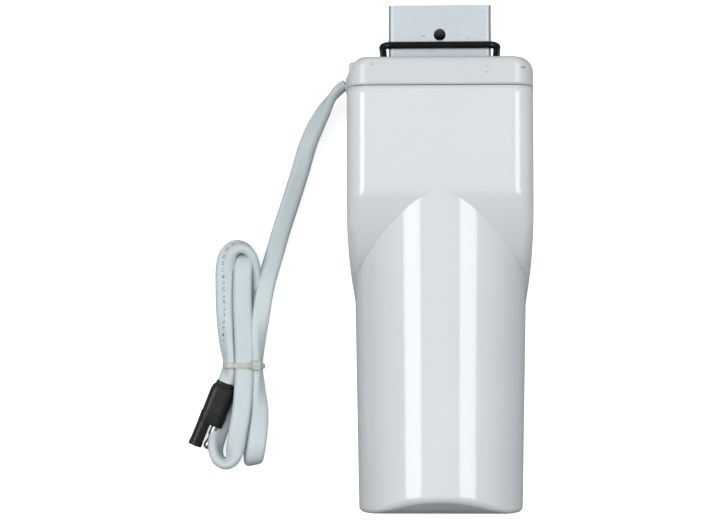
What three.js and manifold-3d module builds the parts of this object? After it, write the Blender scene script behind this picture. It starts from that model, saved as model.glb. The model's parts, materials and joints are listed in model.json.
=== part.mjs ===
// Motorised actuator head: a worm-geared motor in a moulded cover, on a square aluminium mounting spigot.
// Millimetres, +Z up. The head lies on its back at Z = 0, its length runs along Y with the spigot at +Y,
// and the origin is the middle of its footprint. The flat supply cable lies folded on the -X side.
import * as THREE from "three";
import { mergeVertices } from "three/addons/utils/BufferGeometryUtils.js";
import Module from "manifold-3d";

const wasm = await Module();
wasm.setup();

// ---- Driving dimensions ----
const gap = 0.3; // between pieces that touch on the real object
const fit = 0.25; // radial clearance of bores on their shafts and seats

// Sides of turned pieces: housings, bearings and shafts, bosses, fasteners
const wide = 28;
const round = 20;
const bossSides = 12;
const screwSides = 8;

// Casing
const width = 96;
const height = 78;
const coverLength = 219.2;
const castingLength = 14.9;
const spigotReach = 28.7;
const boxLength = 110.3; // wide upper part of the front cover
const coverWall = 2.5;
const backPlate = 3;
const cornerRadius = 12;
const noseCentreZ = -1;
const noseBend = 20; // degrees between the front face and the start of the nose
const boxTaper = 2.3; // narrowing of each side towards the nose
const taperLength = 42.5;
const shoulder = 3.2; // step in from the box to the half-round body, each side
const halfRoundTaper = 2.1;
const facetRun = 7.3;
const facetDrop = 15.2;
const lipHeight = 4;
const lipWall = 1.8;

// End casting and spigot
const castingWall = 4;
const castingEndWall = 5;
const castingEdge = 6;
const rimLength = 4.8;
const rimWall = 2.2;
const spigotWidth = 53;
const spigotDepth = 40;
const spigotWall = 3.5;
const spigotCorner = 2.5;
const spigotCentreZ = 42;
const flangeWidth = 68;
const flangeDepth = 46;
const flangeThickness = 3;
const crossHoleRadius = 3;
const crossHoleFromEnd = 15.9;
const ringRadius = 1.65;

// Cable outlet in the casting's left wall
const cableWidth = 10;
const cableThickness = 5;
const outletZ = 16;
const outletBelowEnd = 7.4;
const glandSkin = 1;
const glandBrim = 1.1;

// Fasteners
const screwRadius = 1.5;
const screwHole = screwRadius + gap;
const headRadius = 3;
const headHeight = 2.6;

// Worm gear
const module = 1.5;
const wheelTeeth = 28;
const wormRadius = 7; // pitch radius
const wormLength = 24;
const wheelFace = 12;
const toothThickness = 1.333 * module;
const toothAddendum = 0.867 * module;
const toothDedendum = 1.267 * module;
const pressureTangent = 0.364;

// Gearbox
const wormX = -12;
const wormZ = 38;
const wheelFromSeam = 27.8;
const caseWall = 2.2;
const caseFloorZ = 20;
const caseTopZ = 56;
const lidThickness = 3.7;
const hubRadius = 12;
const hubFaceZ = 1.6;
const socketFlats = 14;
const socketDepth = 32;
const bearingWall = 3.75;
const bearingWidth = 9;

// Motor
const shaftRadius = 4;
const canRadius = 26;
const canWall = 2;
const canLength = 108;
const canFromWheel = 32;
const bellLength = 15.7;
const bellWall = 2.5;
const stackLength = canLength - 68;
const magnetThickness = 4.9;
const armatureRadius = canRadius - canWall - magnetThickness - 1.3;
const commutatorRadius = 9.3;
const slotCount = 8;
const bushWall = 2.75;
const boltRadius = 1.75;

// ---- Places that follow from them ----
const length = coverLength + castingLength + spigotReach;
const lowerEnd = -length / 2;
const seam = lowerEnd + coverLength;
const castingTop = seam + castingLength;
const spigotTop = castingTop + spigotReach;
const noseTip = seam - boxLength;
const noseRadius = (height - noseCentreZ) / Math.cos(THREE.MathUtils.degToRad(noseBend));
const noseCentreY = noseTip + noseRadius;
const side = width / 2;

const wheelRadius = (module * wheelTeeth) / 2;
const wheelX = wormX + wormRadius + wheelRadius;
const wheelY = seam - wheelFromSeam;
const wheelTip = wheelRadius + toothAddendum;
const cavityRadius = wheelTip + 1;
const caseRadius = cavityRadius + caseWall;
const wormTip = wormRadius + toothAddendum;
const wormBore = wormTip + 1.45;
const canFront = wheelY - canFromWheel;
const canRear = canFront - canLength;
const bellEnd = canRear - gap - bellLength;

// ---- Materials ----
function material(color, roughness, metalness) {
  return new THREE.MeshStandardMaterial({ color, roughness, metalness });
}

const glossWhite = material(0xe6e8ea, 0.18, 0);
const paintedWhite = material(0xdfe1e2, 0.6, 0);
const aluminium = material(0xc9d1d8, 0.4, 0.9);
const blackRubber = material(0x101112, 0.3, 0);
const steel = material(0xaeb3b8, 0.35, 1);
const zincSteel = material(0xc3c7c4, 0.4, 1);
const castAlloy = material(0x9da1a4, 0.55, 0.9);
const bearingSteel = material(0xd0d3d6, 0.2, 1);
const bronze = material(0xb07a3c, 0.45, 1);
const wheelBronze = material(0xc19a4b, 0.35, 1);
const ferrite = material(0x2b2c2e, 0.7, 0.1);
const copper = material(0xb4612f, 0.35, 1);
const carbon = material(0x1f1f20, 0.8, 0);
const phenolic = material(0x4a3526, 0.7, 0);
const cableGrey = material(0xd3d7d6, 0.5, 0);
const nylon = material(0xdcdfd9, 0.35, 0);
const blackVinyl = material(0x141516, 0.35, 0);
const nickel = material(0xd9d6cd, 0.2, 1);
const redVinyl = material(0xa81a1a, 0.45, 0);

// ---- Solids ----
function solid(geometry) {
  const flat = geometry.index ? geometry.toNonIndexed() : geometry;
  const bare = new THREE.BufferGeometry();
  bare.setAttribute("position", flat.getAttribute("position"));
  const merged = mergeVertices(bare, 1e-4);
  const corners = [];
  for (let i = 0; i < merged.index.count; i += 3) {
    const [a, b, c] = [0, 1, 2].map((k) => merged.index.getX(i + k));
    if (a !== b && b !== c && c !== a) corners.push(a, b, c);
  }
  const build = (triVerts) =>
    new wasm.Manifold(
      new wasm.Mesh({ numProp: 3, vertProperties: merged.attributes.position.array, triVerts }),
    );
  const made = build(new Uint32Array(corners));
  return made.volume() > 0 ? made : build(new Uint32Array(corners.reverse()));
}

function box(x0, x1, y0, y1, z0, z1) {
  const geometry = new THREE.BoxGeometry(x1 - x0, y1 - y0, z1 - z0);
  return solid(geometry.translate((x0 + x1) / 2, (y0 + y1) / 2, (z0 + z1) / 2));
}

// A closed half-profile between two radii and two heights, for a turned piece.
function band(inner, outer, start, end) {
  return [[inner, start], [outer, start], [outer, end], [inner, end]];
}

function lathe(profile, segments) {
  const points = profile.map(([radius, along]) => new THREE.Vector2(radius, along));
  if (profile[0][0] > 0) points.push(points[0].clone());
  return new THREE.LatheGeometry(points, segments);
}

function turnedY(profile, x, z, segments = round) {
  return solid(lathe(profile, segments).translate(x, 0, z));
}

function turnedZ(profile, x, y, segments = round) {
  return solid(lathe(profile, segments).rotateX(Math.PI / 2).translate(x, y, 0));
}

// Extrusions of an outline drawn in the two other axes.
function prismX(outline, x0, x1, curveSegments = 12) {
  const geometry = new THREE.ExtrudeGeometry(outline, { depth: x1 - x0, bevelEnabled: false, curveSegments });
  const turn = new THREE.Matrix4().makeBasis(
    new THREE.Vector3(0, 1, 0),
    new THREE.Vector3(0, 0, 1),
    new THREE.Vector3(1, 0, 0),
  );
  return solid(geometry.applyMatrix4(turn).translate(x0, 0, 0));
}

function prismY(outline, y0, y1, curveSegments = 12) {
  const geometry = new THREE.ExtrudeGeometry(outline, { depth: y1 - y0, bevelEnabled: false, curveSegments });
  return solid(geometry.rotateX(Math.PI / 2).translate(0, y1, 0));
}

function prismZ(outline, z0, z1, curveSegments = 12) {
  const geometry = new THREE.ExtrudeGeometry(outline, { depth: z1 - z0, bevelEnabled: false, curveSegments });
  return solid(geometry.translate(0, 0, z0));
}

// A straight bar of the outline whose points are moved by place(across, up, share of the length).
function sweep(outline, steps, place) {
  const geometry = new THREE.ExtrudeGeometry(outline, { depth: 1, steps, bevelEnabled: false });
  const points = geometry.getAttribute("position");
  for (let i = 0; i < points.count; i += 1) {
    const moved = place(points.getX(i), points.getY(i), points.getZ(i));
    points.setXYZ(i, moved.x, moved.y, moved.z);
  }
  return solid(geometry);
}

function polygon(points) {
  return new THREE.Shape(points.map(([a, b]) => new THREE.Vector2(a, b)));
}

function roundedRect(centreA, centreB, sizeA, sizeB, radius) {
  const shape = new THREE.Shape();
  const a = sizeA / 2 - radius;
  const b = sizeB / 2 - radius;
  shape.absarc(centreA + a, centreB + b, radius, 0, Math.PI / 2);
  shape.absarc(centreA - a, centreB + b, radius, Math.PI / 2, Math.PI);
  shape.absarc(centreA - a, centreB - b, radius, Math.PI, 1.5 * Math.PI);
  shape.absarc(centreA + a, centreB - b, radius, 1.5 * Math.PI, 2 * Math.PI);
  shape.closePath();
  return shape;
}

// The outline round two circles, which can differ in size.
function capsule(xA, yA, radiusA, xB, yB, radiusB) {
  const heading = Math.atan2(yB - yA, xB - xA);
  const spread = Math.acos((radiusA - radiusB) / Math.hypot(xB - xA, yB - yA));
  const shape = new THREE.Shape();
  shape.absarc(xA, yA, radiusA, heading + spread, heading - spread + 2 * Math.PI);
  shape.absarc(xB, yB, radiusB, heading - spread, heading + spread);
  shape.closePath();
  return shape;
}

const actuatorHead = new THREE.Group();

function add(name, body, look, parent = actuatorHead) {
  const data = body.getMesh();
  const geometry = new THREE.BufferGeometry();
  geometry.setAttribute("position", new THREE.BufferAttribute(new Float32Array(data.vertProperties), 3));
  geometry.setIndex(new THREE.BufferAttribute(new Uint32Array(data.triVerts), 1));
  geometry.computeVertexNormals();
  const mesh = new THREE.Mesh(geometry, look);
  mesh.name = name;
  parent.add(mesh);
}

// A screw's profile from its head's outer face to its point, up or down the axis by the direction's sign.
function screwProfile(face, direction, shankLength, tall = headHeight, radius = screwRadius) {
  const seat = face + direction * tall;
  const tip = face + direction * (headHeight + shankLength);
  return [[0, face], [headRadius, face], [headRadius, seat], [radius, seat], [radius, tip], [0, tip]];
}

// ---- Casing shape, shared by the covers and the casting ----
function boxSection(inset, bottom) {
  const half = side - inset;
  const top = height - inset;
  const radius = cornerRadius - inset;
  const shape = new THREE.Shape();
  shape.moveTo(-half, bottom);
  shape.lineTo(half, bottom);
  shape.absarc(half - radius, top - radius, radius, 0, Math.PI / 2);
  shape.absarc(-half + radius, top - radius, radius, Math.PI / 2, Math.PI);
  shape.closePath();
  return shape;
}

function boxPlan(inset, end) {
  const half = side - inset;
  const start = noseTip + taperLength;
  const shape = new THREE.Shape();
  shape.moveTo(half - boxTaper, noseTip);
  shape.quadraticCurveTo(half, noseTip + taperLength / 2, half, start);
  shape.lineTo(half, end);
  shape.lineTo(-half, end);
  shape.lineTo(-half, start);
  shape.quadraticCurveTo(-half, noseTip + taperLength / 2, -half + boxTaper, noseTip);
  shape.closePath();
  return shape;
}

function noseOutline(inset, bottom, end) {
  const radius = noseRadius - inset;
  const top = height - inset;
  const startAngle = Math.PI - Math.asin((top - noseCentreZ) / radius);
  const endAngle = Math.PI - Math.asin((bottom - noseCentreZ) / radius);
  const shape = new THREE.Shape();
  shape.moveTo(end, bottom);
  shape.lineTo(end, top);
  shape.absarc(noseCentreY, noseCentreZ, radius, startAngle, endAngle);
  shape.closePath();
  return shape;
}

// Radius of the half-round body, which narrows slightly towards its lower end.
function halfRoundRadius(y) {
  return side - shoulder + (halfRoundTaper * (y - noseTip)) / (noseTip - lowerEnd);
}

function halfRound(inset, bottom) {
  const start = lowerEnd + inset;
  const end = noseTip + boxLength / 2;
  const outline = new THREE.Shape();
  outline.moveTo(-1, 0);
  outline.lineTo(1, 0);
  outline.absarc(0, 1, 1, 0, Math.PI);
  outline.closePath();
  const geometry = new THREE.ExtrudeGeometry(outline, { depth: 1, bevelEnabled: false, curveSegments: 24 });
  const points = geometry.getAttribute("position");
  for (let i = 0; i < points.count; i += 1) {
    const y = end + (start - end) * points.getZ(i);
    const radius = halfRoundRadius(y) - inset;
    const centreZ = height - inset - radius;
    const up = points.getY(i);
    const z = up < 1 ? bottom + (centreZ - bottom) * up : centreZ + radius * (up - 1);
    points.setXYZ(i, points.getX(i) * radius, y, z);
  }
  const slope = Math.hypot(facetRun, facetDrop);
  const shiftY = (inset * facetDrop) / slope;
  const shiftZ = (-inset * facetRun) / slope;
  const facet = [
    [lowerEnd, height - facetDrop],
    [lowerEnd + 2 * facetRun, height + facetDrop],
    [lowerEnd - facetDrop, height + facetDrop],
    [lowerEnd - facetDrop, height - facetDrop],
  ];
  const cut = prismX(polygon(facet.map(([y, z]) => [y + shiftY, z + shiftZ])), -width, width);
  return solid(geometry).subtract(cut);
}

function coverBody(inset, bottom, end) {
  const upper = prismY(boxSection(inset, bottom), noseTip - 1, end, 5)
    .intersect(prismZ(boxPlan(inset, end + 1), bottom - 1, height + 1, 4))
    .intersect(prismX(noseOutline(inset, bottom, end + 1), -width, width, 9));
  return upper.add(halfRound(inset, bottom));
}

// Back cover screws, in pairs: by the seam, by the nose and at the lower end.
const coverScrews = [];
for (const [y, inward] of [
  [seam - 9.8, coverWall + 4],
  [seam - 79.8, coverWall + 4],
  [lowerEnd + 13.4, side - halfRoundRadius(lowerEnd + 13.4) + coverWall + 3.9],
]) {
  coverScrews.push([side - inward, y], [inward - side, y]);
}
const coverBossRadius = 4.6;
const coverBossTop = 20;
const padRadius = 3.6;
const padTop = 5;

function frontCover() {
  const bottom = backPlate + gap;
  let shell = coverBody(0, bottom, seam).subtract(coverBody(coverWall, bottom - 2, seam + 5));
  for (const [x, y] of coverScrews) {
    shell = shell
      .add(turnedZ(band(0, coverBossRadius, padTop + gap, coverBossTop), x, y, bossSides))
      .subtract(turnedZ(band(0, screwHole, padTop, coverBossTop - 2), x, y, screwSides));
  }
  return shell;
}

function backCover() {
  const end = seam - gap / 2;
  const plate = coverBody(0, 0, end).intersect(box(-side, side, lowerEnd, end, 0, backPlate));
  const lip = coverBody(coverWall + gap, 1, end - rimLength - 1)
    .subtract(coverBody(coverWall + gap + lipWall, 0, seam))
    .intersect(box(-side, side, lowerEnd, seam, 1, backPlate + lipHeight));
  let cover = lip;
  for (const [x, y] of coverScrews) {
    cover = cover.subtract(turnedZ(band(0, coverBossRadius + gap, backPlate, coverBossTop), x, y, bossSides));
  }
  cover = cover.add(plate);
  for (const [x, y] of coverScrews) {
    cover = cover
      .add(turnedZ(band(0, padRadius, 1, padTop), x, y, bossSides))
      .subtract(turnedZ(band(0, screwHole, -1, padTop + 1), x, y, screwSides))
      .subtract(turnedZ(band(0, headRadius + gap, -1, headHeight - gap), x, y, bossSides));
  }
  return cover.subtract(turnedZ(band(0, hubRadius + 5, -1, padTop), wheelX, wheelY, round));
}

add("front_cover", frontCover(), glossWhite);
add("back_cover", backCover(), glossWhite);
coverScrews.forEach(([x, y], i) => {
  const profile = screwProfile(gap, 1, coverBossTop - headHeight - 4, headHeight - 2 * gap);
  add(`back_cover_screw_${i + 1}`, turnedZ(profile, x, y, screwSides), steel);
});

// ---- End casting, spigot and ring ----
const flangeTop = castingTop - castingEndWall - gap;
const flangeBottom = flangeTop - flangeThickness;
const spigotScrews = [];
for (const x of [-1, 1]) {
  for (const z of [-1, 1]) {
    spigotScrews.push([x * (spigotWidth / 2 + 4), spigotCentreZ + z * (flangeDepth / 2 - 5)]);
  }
}
const mountX = side - castingWall - 5;
const mountZ = 30;
const mountBossRadius = 4;
const earTop = seam - 1.2;
const earThickness = 3.8;
const outletY = castingTop - outletBelowEnd;

function endCasting() {
  const edge = castingEdge;
  const outline = boxSection(edge, -2 * edge);
  const block = new THREE.ExtrudeGeometry(outline, {
    depth: castingLength,
    bevelThickness: edge,
    bevelSize: edge,
    bevelSegments: 2,
    curveSegments: 4,
  });
  block.rotateX(Math.PI / 2).translate(0, castingTop - edge, 0);
  const pocket = boxSection(castingWall, backPlate);
  const rimInset = coverWall + gap;
  const rim = prismY(boxSection(rimInset, backPlate + 2 * gap), seam - rimLength, seam + 3, 5);
  let body = solid(block)
    .intersect(box(-side - 1, side + 1, seam, castingTop + 1, 0, height + 1))
    .subtract(prismY(pocket, seam - 1, castingTop - castingEndWall, 5))
    .add(rim)
    .subtract(prismY(boxSection(rimInset + rimWall, backPlate), seam - 10, seam + 3.5, 5));
  const endWall = castingTop - castingEndWall;
  for (const x of [-mountX, mountX]) {
    body = body
      .add(turnedY(band(0, mountBossRadius, earTop + gap, endWall + 1), x, mountZ, bossSides))
      .subtract(turnedY(band(0, screwHole, earTop, endWall), x, mountZ, screwSides));
  }
  for (const [x, z] of spigotScrews) {
    body = body.subtract(turnedY(band(0, screwHole, flangeTop - 1, castingTop - 1.5), x, z, screwSides));
  }
  const loose = 2 * gap;
  const hole = roundedRect(0, spigotCentreZ, spigotWidth + loose, spigotDepth + loose, spigotCorner + gap);
  const neckY = cableThickness / 2 + glandSkin + gap;
  const neckZ = cableWidth / 2 + glandSkin + gap;
  const opening = (x0, x1, grow, y0) =>
    box(x0, x1, y0, outletY + neckY + grow, outletZ - neckZ - grow, outletZ + neckZ + grow);
  const inside = -side + castingWall;
  return body
    .subtract(prismY(hole, seam, castingTop + 1, 4))
    .subtract(opening(-side - 1, inside + 1, 0, outletY - neckY))
    .subtract(opening(inside, inside + 8, glandBrim + gap, seam));
}

function mountingSpigot() {
  const outer = roundedRect(0, spigotCentreZ, spigotWidth, spigotDepth, spigotCorner);
  const bore = roundedRect(0, spigotCentreZ, spigotWidth - 2 * spigotWall, spigotDepth - 2 * spigotWall, 1);
  const flange = roundedRect(0, spigotCentreZ, flangeWidth, flangeDepth, 3);
  let body = prismY(outer, flangeBottom, spigotTop, 4)
    .add(prismY(flange, flangeBottom, flangeTop, 4))
    .subtract(prismY(bore, flangeBottom - 1, spigotTop + 1, 4))
    .subtract(turnedZ(band(0, crossHoleRadius, 0, height), 0, spigotTop - crossHoleFromEnd, round));
  for (const [x, z] of spigotScrews) {
    body = body.subtract(turnedY(band(0, screwHole, flangeBottom - 1, flangeTop + 1), x, z, screwSides));
  }
  return body;
}

// A torus whose quarters are moved apart into a rounded frame round the spigot, leaning back on the casting.
function spigotRing() {
  const bend = 4.5;
  const sideGap = 1.5;
  const halfX = spigotWidth / 2 + sideGap + ringRadius - bend;
  const halfZ = spigotDepth / 2 + gap + ringRadius - bend;
  const tubular = 20;
  const geometry = new THREE.TorusGeometry(bend, ringRadius, 8, tubular).rotateZ(Math.PI / tubular);
  const points = geometry.getAttribute("position");
  for (let i = 0; i < points.count; i += 1) {
    const x = points.getX(i) + Math.sign(points.getX(i)) * halfX;
    const y = points.getY(i) + Math.sign(points.getY(i)) * halfZ;
    points.setXYZ(i, x, y, points.getZ(i));
  }
  const frontY = castingTop + 7.6;
  const backY = castingTop + ringRadius + gap;
  const lean = Math.atan2(frontY - backY, spigotDepth);
  geometry.rotateX(Math.PI / 2 - lean).translate(0, (frontY + backY) / 2, spigotCentreZ);
  return solid(geometry);
}

add("end_casting", endCasting(), paintedWhite);
add("mounting_spigot", mountingSpigot(), aluminium);
add("spigot_ring", spigotRing(), blackRubber);
spigotScrews.forEach(([x, z], i) => {
  const face = flangeBottom - gap - headHeight;
  const profile = screwProfile(face, 1, castingTop - 2 - face - headHeight);
  add(`spigot_screw_${i + 1}`, turnedY(profile, x, z, screwSides), steel);
});

function outletCorners(halfY, halfZ) {
  const signs = [[-1, -1], [1, -1], [1, 1], [-1, 1]];
  return signs.map(([a, b]) => [outletY + a * halfY, outletZ + b * halfZ]);
}

function cableGland() {
  const halfY = cableThickness / 2 + glandSkin;
  const halfZ = cableWidth / 2 + glandSkin;
  const plate = (x0, x1, grow) =>
    prismX(polygon(outletCorners(halfY + grow, halfZ + grow)), x0, x1);
  return plate(-side - 2, -side + castingWall + 2, 0)
    .add(plate(-side - 2, -side - gap, glandBrim))
    .add(plate(-side + castingWall + gap, -side + castingWall + 2, glandBrim));
}

add("cable_gland", cableGland(), cableGrey);

// ---- Gearbox ----
const rearBearingZ = 9.3;
const wheelBottom = wormZ - wheelFace / 2;
const frontSeatRadius = 8;
const frontBearingZ = 48.3;
const frontBearingWidth = 7;
const frontBearingWall = 5.75;
const lidScrews = [30, 150, 210, 330].map((degrees) => {
  const angle = THREE.MathUtils.degToRad(degrees);
  return [wheelX + (caseRadius + 1) * Math.cos(angle), wheelY + (caseRadius + 1) * Math.sin(angle)];
});
const lidEarRadius = 3.5;
const bearingOuter = hubRadius + fit + bearingWall;
const boltOffset = canRadius - canWall - boltRadius - 0.75;
const boltHole = boltRadius + gap;

function boltBore(y0, y1, offset) {
  return turnedY(band(0, boltHole, y0, y1), wormX, wormZ + offset, screwSides);
}

function gearboxCase() {
  const earBottom = earTop - earThickness;
  const rearSeat = bearingOuter + fit;
  let body = turnedZ(band(0, caseRadius, caseFloorZ, caseTopZ), wheelX, wheelY, wide)
    .add(turnedZ(band(0, bearingOuter + 3, backPlate + 2 * gap, caseFloorZ + 1), wheelX, wheelY, round))
    .add(box(wormX - wormBore - caseWall, wormX + 12, canFront + 1, earTop, wormZ - 12, wormZ + 12))
    .add(turnedY(band(0, canRadius, canFront + gap, canFront + 5), wormX, wormZ, wide))
    .add(box(-mountX - 3.6, wormX - 11, earBottom, earTop, mountZ - 6, mountZ + 6))
    .add(box(wheelX - 6, mountX - 7.5, wheelY + 16, earTop, mountZ - 6, mountZ + 6))
    .add(box(mountX - 8, mountX + 3.6, earBottom, earTop, mountZ - 6, mountZ + 6));
  for (const [x, y] of lidScrews) {
    body = body.add(turnedZ(band(0, lidEarRadius, caseTopZ - 14, caseTopZ), x, y, bossSides));
  }
  body = body
    .subtract(turnedZ(band(0, cavityRadius, caseFloorZ + 10, caseTopZ + 1), wheelX, wheelY, wide))
    .subtract(turnedZ(band(0, rearSeat, rearBearingZ - gap, caseFloorZ + 11), wheelX, wheelY, round))
    .subtract(turnedZ(band(0, bearingOuter, 0, rearBearingZ - 1.8), wheelX, wheelY, round))
    .subtract(turnedZ(band(0, hubRadius + 0.7, 0, rearBearingZ), wheelX, wheelY, round))
    .subtract(turnedY(band(0, wormBore, canFront, earTop - 2.8), wormX, wormZ, round));
  for (const offset of [-boltOffset, boltOffset]) {
    body = body.subtract(boltBore(canFront, canFront + 6, offset));
  }
  for (const [x, y] of lidScrews) {
    body = body.subtract(turnedZ(band(0, screwHole, caseTopZ - 8, caseTopZ + 1), x, y, screwSides));
  }
  for (const x of [-mountX, mountX]) {
    body = body.subtract(turnedY(band(0, screwHole, earBottom - 1, earTop + 1), x, mountZ, screwSides));
  }
  return body;
}

const lidTop = caseTopZ + gap + lidThickness;

function gearboxLid() {
  const seat = frontSeatRadius + fit + frontBearingWall + fit;
  let lid = turnedZ(band(0, caseRadius, caseTopZ + gap, lidTop), wheelX, wheelY, wide)
    .add(turnedZ(band(0, seat + 2.5, frontBearingZ, caseTopZ + 1), wheelX, wheelY, round));
  for (const [x, y] of lidScrews) {
    lid = lid.add(turnedZ(band(0, lidEarRadius, caseTopZ + gap, lidTop), x, y, bossSides));
  }
  lid = lid.subtract(turnedZ(band(0, seat, 0, caseTopZ + gap), wheelX, wheelY, round));
  for (const [x, y] of lidScrews) {
    lid = lid.subtract(turnedZ(band(0, screwHole, caseTopZ, lidTop + 1), x, y, screwSides));
  }
  return lid;
}

add("gearbox_case", gearboxCase(), castAlloy);
add("gearbox_lid", gearboxLid(), castAlloy);
lidScrews.forEach(([x, y], i) => {
  const profile = screwProfile(lidTop + gap + headHeight, -1, lidThickness + 7);
  add(`gearbox_lid_screw_${i + 1}`, turnedZ(profile, x, y, screwSides), zincSteel);
});
[-mountX, mountX].forEach((x, i) => {
  const profile = screwProfile(earTop - earThickness - gap - headHeight, 1, earThickness + gap + 8);
  add(`gearbox_mount_screw_${i + 1}`, turnedY(profile, x, mountZ, screwSides), zincSteel);
});

const rearBearing = band(hubRadius + fit, bearingOuter, rearBearingZ, rearBearingZ + bearingWidth);
add("output_bearing_rear", turnedZ(rearBearing, wheelX, wheelY, round), bearingSteel);
const frontBearingOuter = frontSeatRadius + fit + frontBearingWall;
const frontBearingTop = frontBearingZ + frontBearingWidth;
const frontBearing = band(frontSeatRadius + fit, frontBearingOuter, frontBearingZ, frontBearingTop);
add("output_bearing_front", turnedZ(frontBearing, wheelX, wheelY, round), bearingSteel);
const seal = band(hubRadius + gap, bearingOuter - gap, backPlate + 1, rearBearingZ - 2.1);
add("output_seal", turnedZ(seal, wheelX, wheelY, round), blackRubber);

// ---- Output: hub, worm wheel and its retaining ring ----
function wormWheel() {
  const outline = new THREE.Shape();
  const corner = (radius, angle) => [radius * Math.cos(angle), radius * Math.sin(angle)];
  const points = [];
  for (let i = 0; i < wheelTeeth; i += 1) {
    const centre = Math.PI + ((i + 0.5) * 2 * Math.PI) / wheelTeeth;
    const tipRadius = wheelRadius + toothAddendum;
    const rootRadius = wheelRadius - toothDedendum;
    const tipHalf = (toothThickness / 2 - toothAddendum * pressureTangent) / tipRadius;
    const rootHalf = (toothThickness / 2 + toothDedendum * pressureTangent) / rootRadius;
    points.push(corner(rootRadius, centre - rootHalf), corner(tipRadius, centre - tipHalf));
    points.push(corner(tipRadius, centre + tipHalf), corner(rootRadius, centre + rootHalf));
  }
  outline.setFromPoints(points.map(([x, y]) => new THREE.Vector2(x, y)));
  const twistPerMm = module / 2 / wormRadius / wheelRadius; // the teeth lean by the worm's lead angle
  const blank = sweep(outline, 1, (x, y, share) => {
    const up = (share - 0.5) * wheelFace;
    const turned = new THREE.Vector2(x, y).rotateAround(new THREE.Vector2(), up * twistPerMm);
    return new THREE.Vector3(wheelX + turned.x, wheelY + turned.y, wormZ + up);
  });
  const over = wormZ + wheelFace;
  const bore = turnedZ(band(0, hubRadius - 1 + fit, wormZ - wheelFace, over), wheelX, wheelY, round);
  const groove = band(hubRadius + 3, wheelRadius - toothDedendum - 2.5, wormZ + wheelFace / 2 - 2, over);
  return blank.subtract(bore).subtract(turnedZ(groove, wheelX, wheelY, round));
}

function outputHub() {
  const shoulderZ = wheelBottom - gap;
  const ringZ = wormZ + wheelFace / 2 + 0.6;
  const profile = [
    [0, hubFaceZ],
    [hubRadius, hubFaceZ],
    [hubRadius, rearBearingZ + bearingWidth + gap],
    [hubRadius + 1.5, rearBearingZ + bearingWidth + gap],
    [hubRadius + 1.5, shoulderZ],
    [hubRadius - 1, shoulderZ],
    [hubRadius - 1, ringZ],
    [hubRadius - 2, ringZ],
    [hubRadius - 2, ringZ + 1.5],
    [hubRadius - 1, ringZ + 1.5],
    [hubRadius - 1, frontBearingZ - gap],
    [frontSeatRadius, frontBearingZ - gap],
    [frontSeatRadius, frontBearingZ + frontBearingWidth + gap],
    [0, frontBearingZ + frontBearingWidth + gap],
  ];
  const cornerRadiusOfHex = socketFlats / Math.sqrt(3);
  const socket = turnedZ(band(0, cornerRadiusOfHex, 0, hubFaceZ + socketDepth), wheelX, wheelY, 6);
  return turnedZ(profile, wheelX, wheelY, round).subtract(socket);
}

function hubRetainingRing() {
  const start = wormZ + wheelFace / 2 + 0.8;
  const ring = turnedZ(band(hubRadius - 2 + gap, hubRadius + 1.2, start, start + 1.1), wheelX, wheelY, round);
  return ring.subtract(box(wheelX, wheelX + 20, wheelY - 2, wheelY + 2, start - 1, start + 3));
}

add("worm_wheel", wormWheel(), wheelBronze);
add("output_hub", outputHub(), steel);
add("hub_retaining_ring", hubRetainingRing(), zincSteel);

// ---- Motor ----
function motorCan() {
  const inner = canRadius - canWall;
  const bush = shaftRadius + fit + bushWall + gap;
  const profile = [
    [bush, canFront - canWall],
    [inner, canFront - canWall],
    [inner, canRear],
    [canRadius, canRear],
    [canRadius, canFront],
    [bush, canFront],
  ];
  let can = turnedY(profile, wormX, wormZ, wide);
  for (const offset of [-boltOffset, boltOffset]) {
    can = can.subtract(boltBore(canFront - 4, canFront + 1, offset));
  }
  return can;
}

function motorEndBell() {
  const inner = canRadius - bellWall;
  const bush = shaftRadius + fit + bushWall + gap;
  const floorY = bellEnd + bellWall;
  const bossEnd = canRear - 4;
  const profile = [
    [0, bellEnd],
    [canRadius, bellEnd],
    [canRadius, canRear - gap],
    [inner, canRear - gap],
    [inner, floorY],
    [bush + 3, floorY],
    [bush + 3, bossEnd],
    [bush, bossEnd],
    [bush, floorY + 1],
    [0, floorY + 1],
  ];
  let bell = turnedY(profile, wormX, wormZ, wide);
  for (const offset of [-boltOffset, boltOffset]) {
    bell = bell.subtract(boltBore(bellEnd - 1, floorY + 1, offset));
  }
  return bell;
}

add("motor_can", motorCan(), zincSteel);
add("motor_end_bell", motorEndBell(), castAlloy);
[-boltOffset, boltOffset].forEach((offset, i) => {
  const face = bellEnd - gap - headHeight;
  const profile = screwProfile(face, 1, canFront + 4.7 - face - headHeight, headHeight, boltRadius);
  add(`motor_bolt_${i + 1}`, turnedY(profile, wormX, wormZ + offset, screwSides), steel);
});

const stackFront = canFront - 28;
const stackRear = stackFront - stackLength;
const magnetInner = armatureRadius + 1;
[-1, 1].forEach((sign, i) => {
  const spacing = 9;
  const wall = band(magnetInner, magnetInner + magnetThickness, stackRear - 2, stackFront + 2);
  const ring = turnedY(wall, wormX, wormZ, round);
  const near = Math.min(wormX + sign * spacing, wormX + sign * canRadius);
  const far = Math.max(wormX + sign * spacing, wormX + sign * canRadius);
  const half = box(near, far, stackRear - 3, stackFront + 3, wormZ - canRadius, wormZ + canRadius);
  add(`magnet_${i + 1}`, ring.intersect(half), ferrite);
});

// Brush gear: a ring-shaped plate with two guides, one brush in each, on the commutator.
const brushY = canRear + 10.5;
const brushHalfY = 3.2;
const brushHalfZ = 2.5;
const brushInner = commutatorRadius + gap;
const brushLength = canRadius - canWall - 7 - brushInner;

function sideBox(sign, near, far, y0, y1, halfZ) {
  const xs = [wormX + sign * near, wormX + sign * far].sort((a, b) => a - b);
  return box(xs[0], xs[1], y0, y1, wormZ - halfZ, wormZ + halfZ);
}

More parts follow.
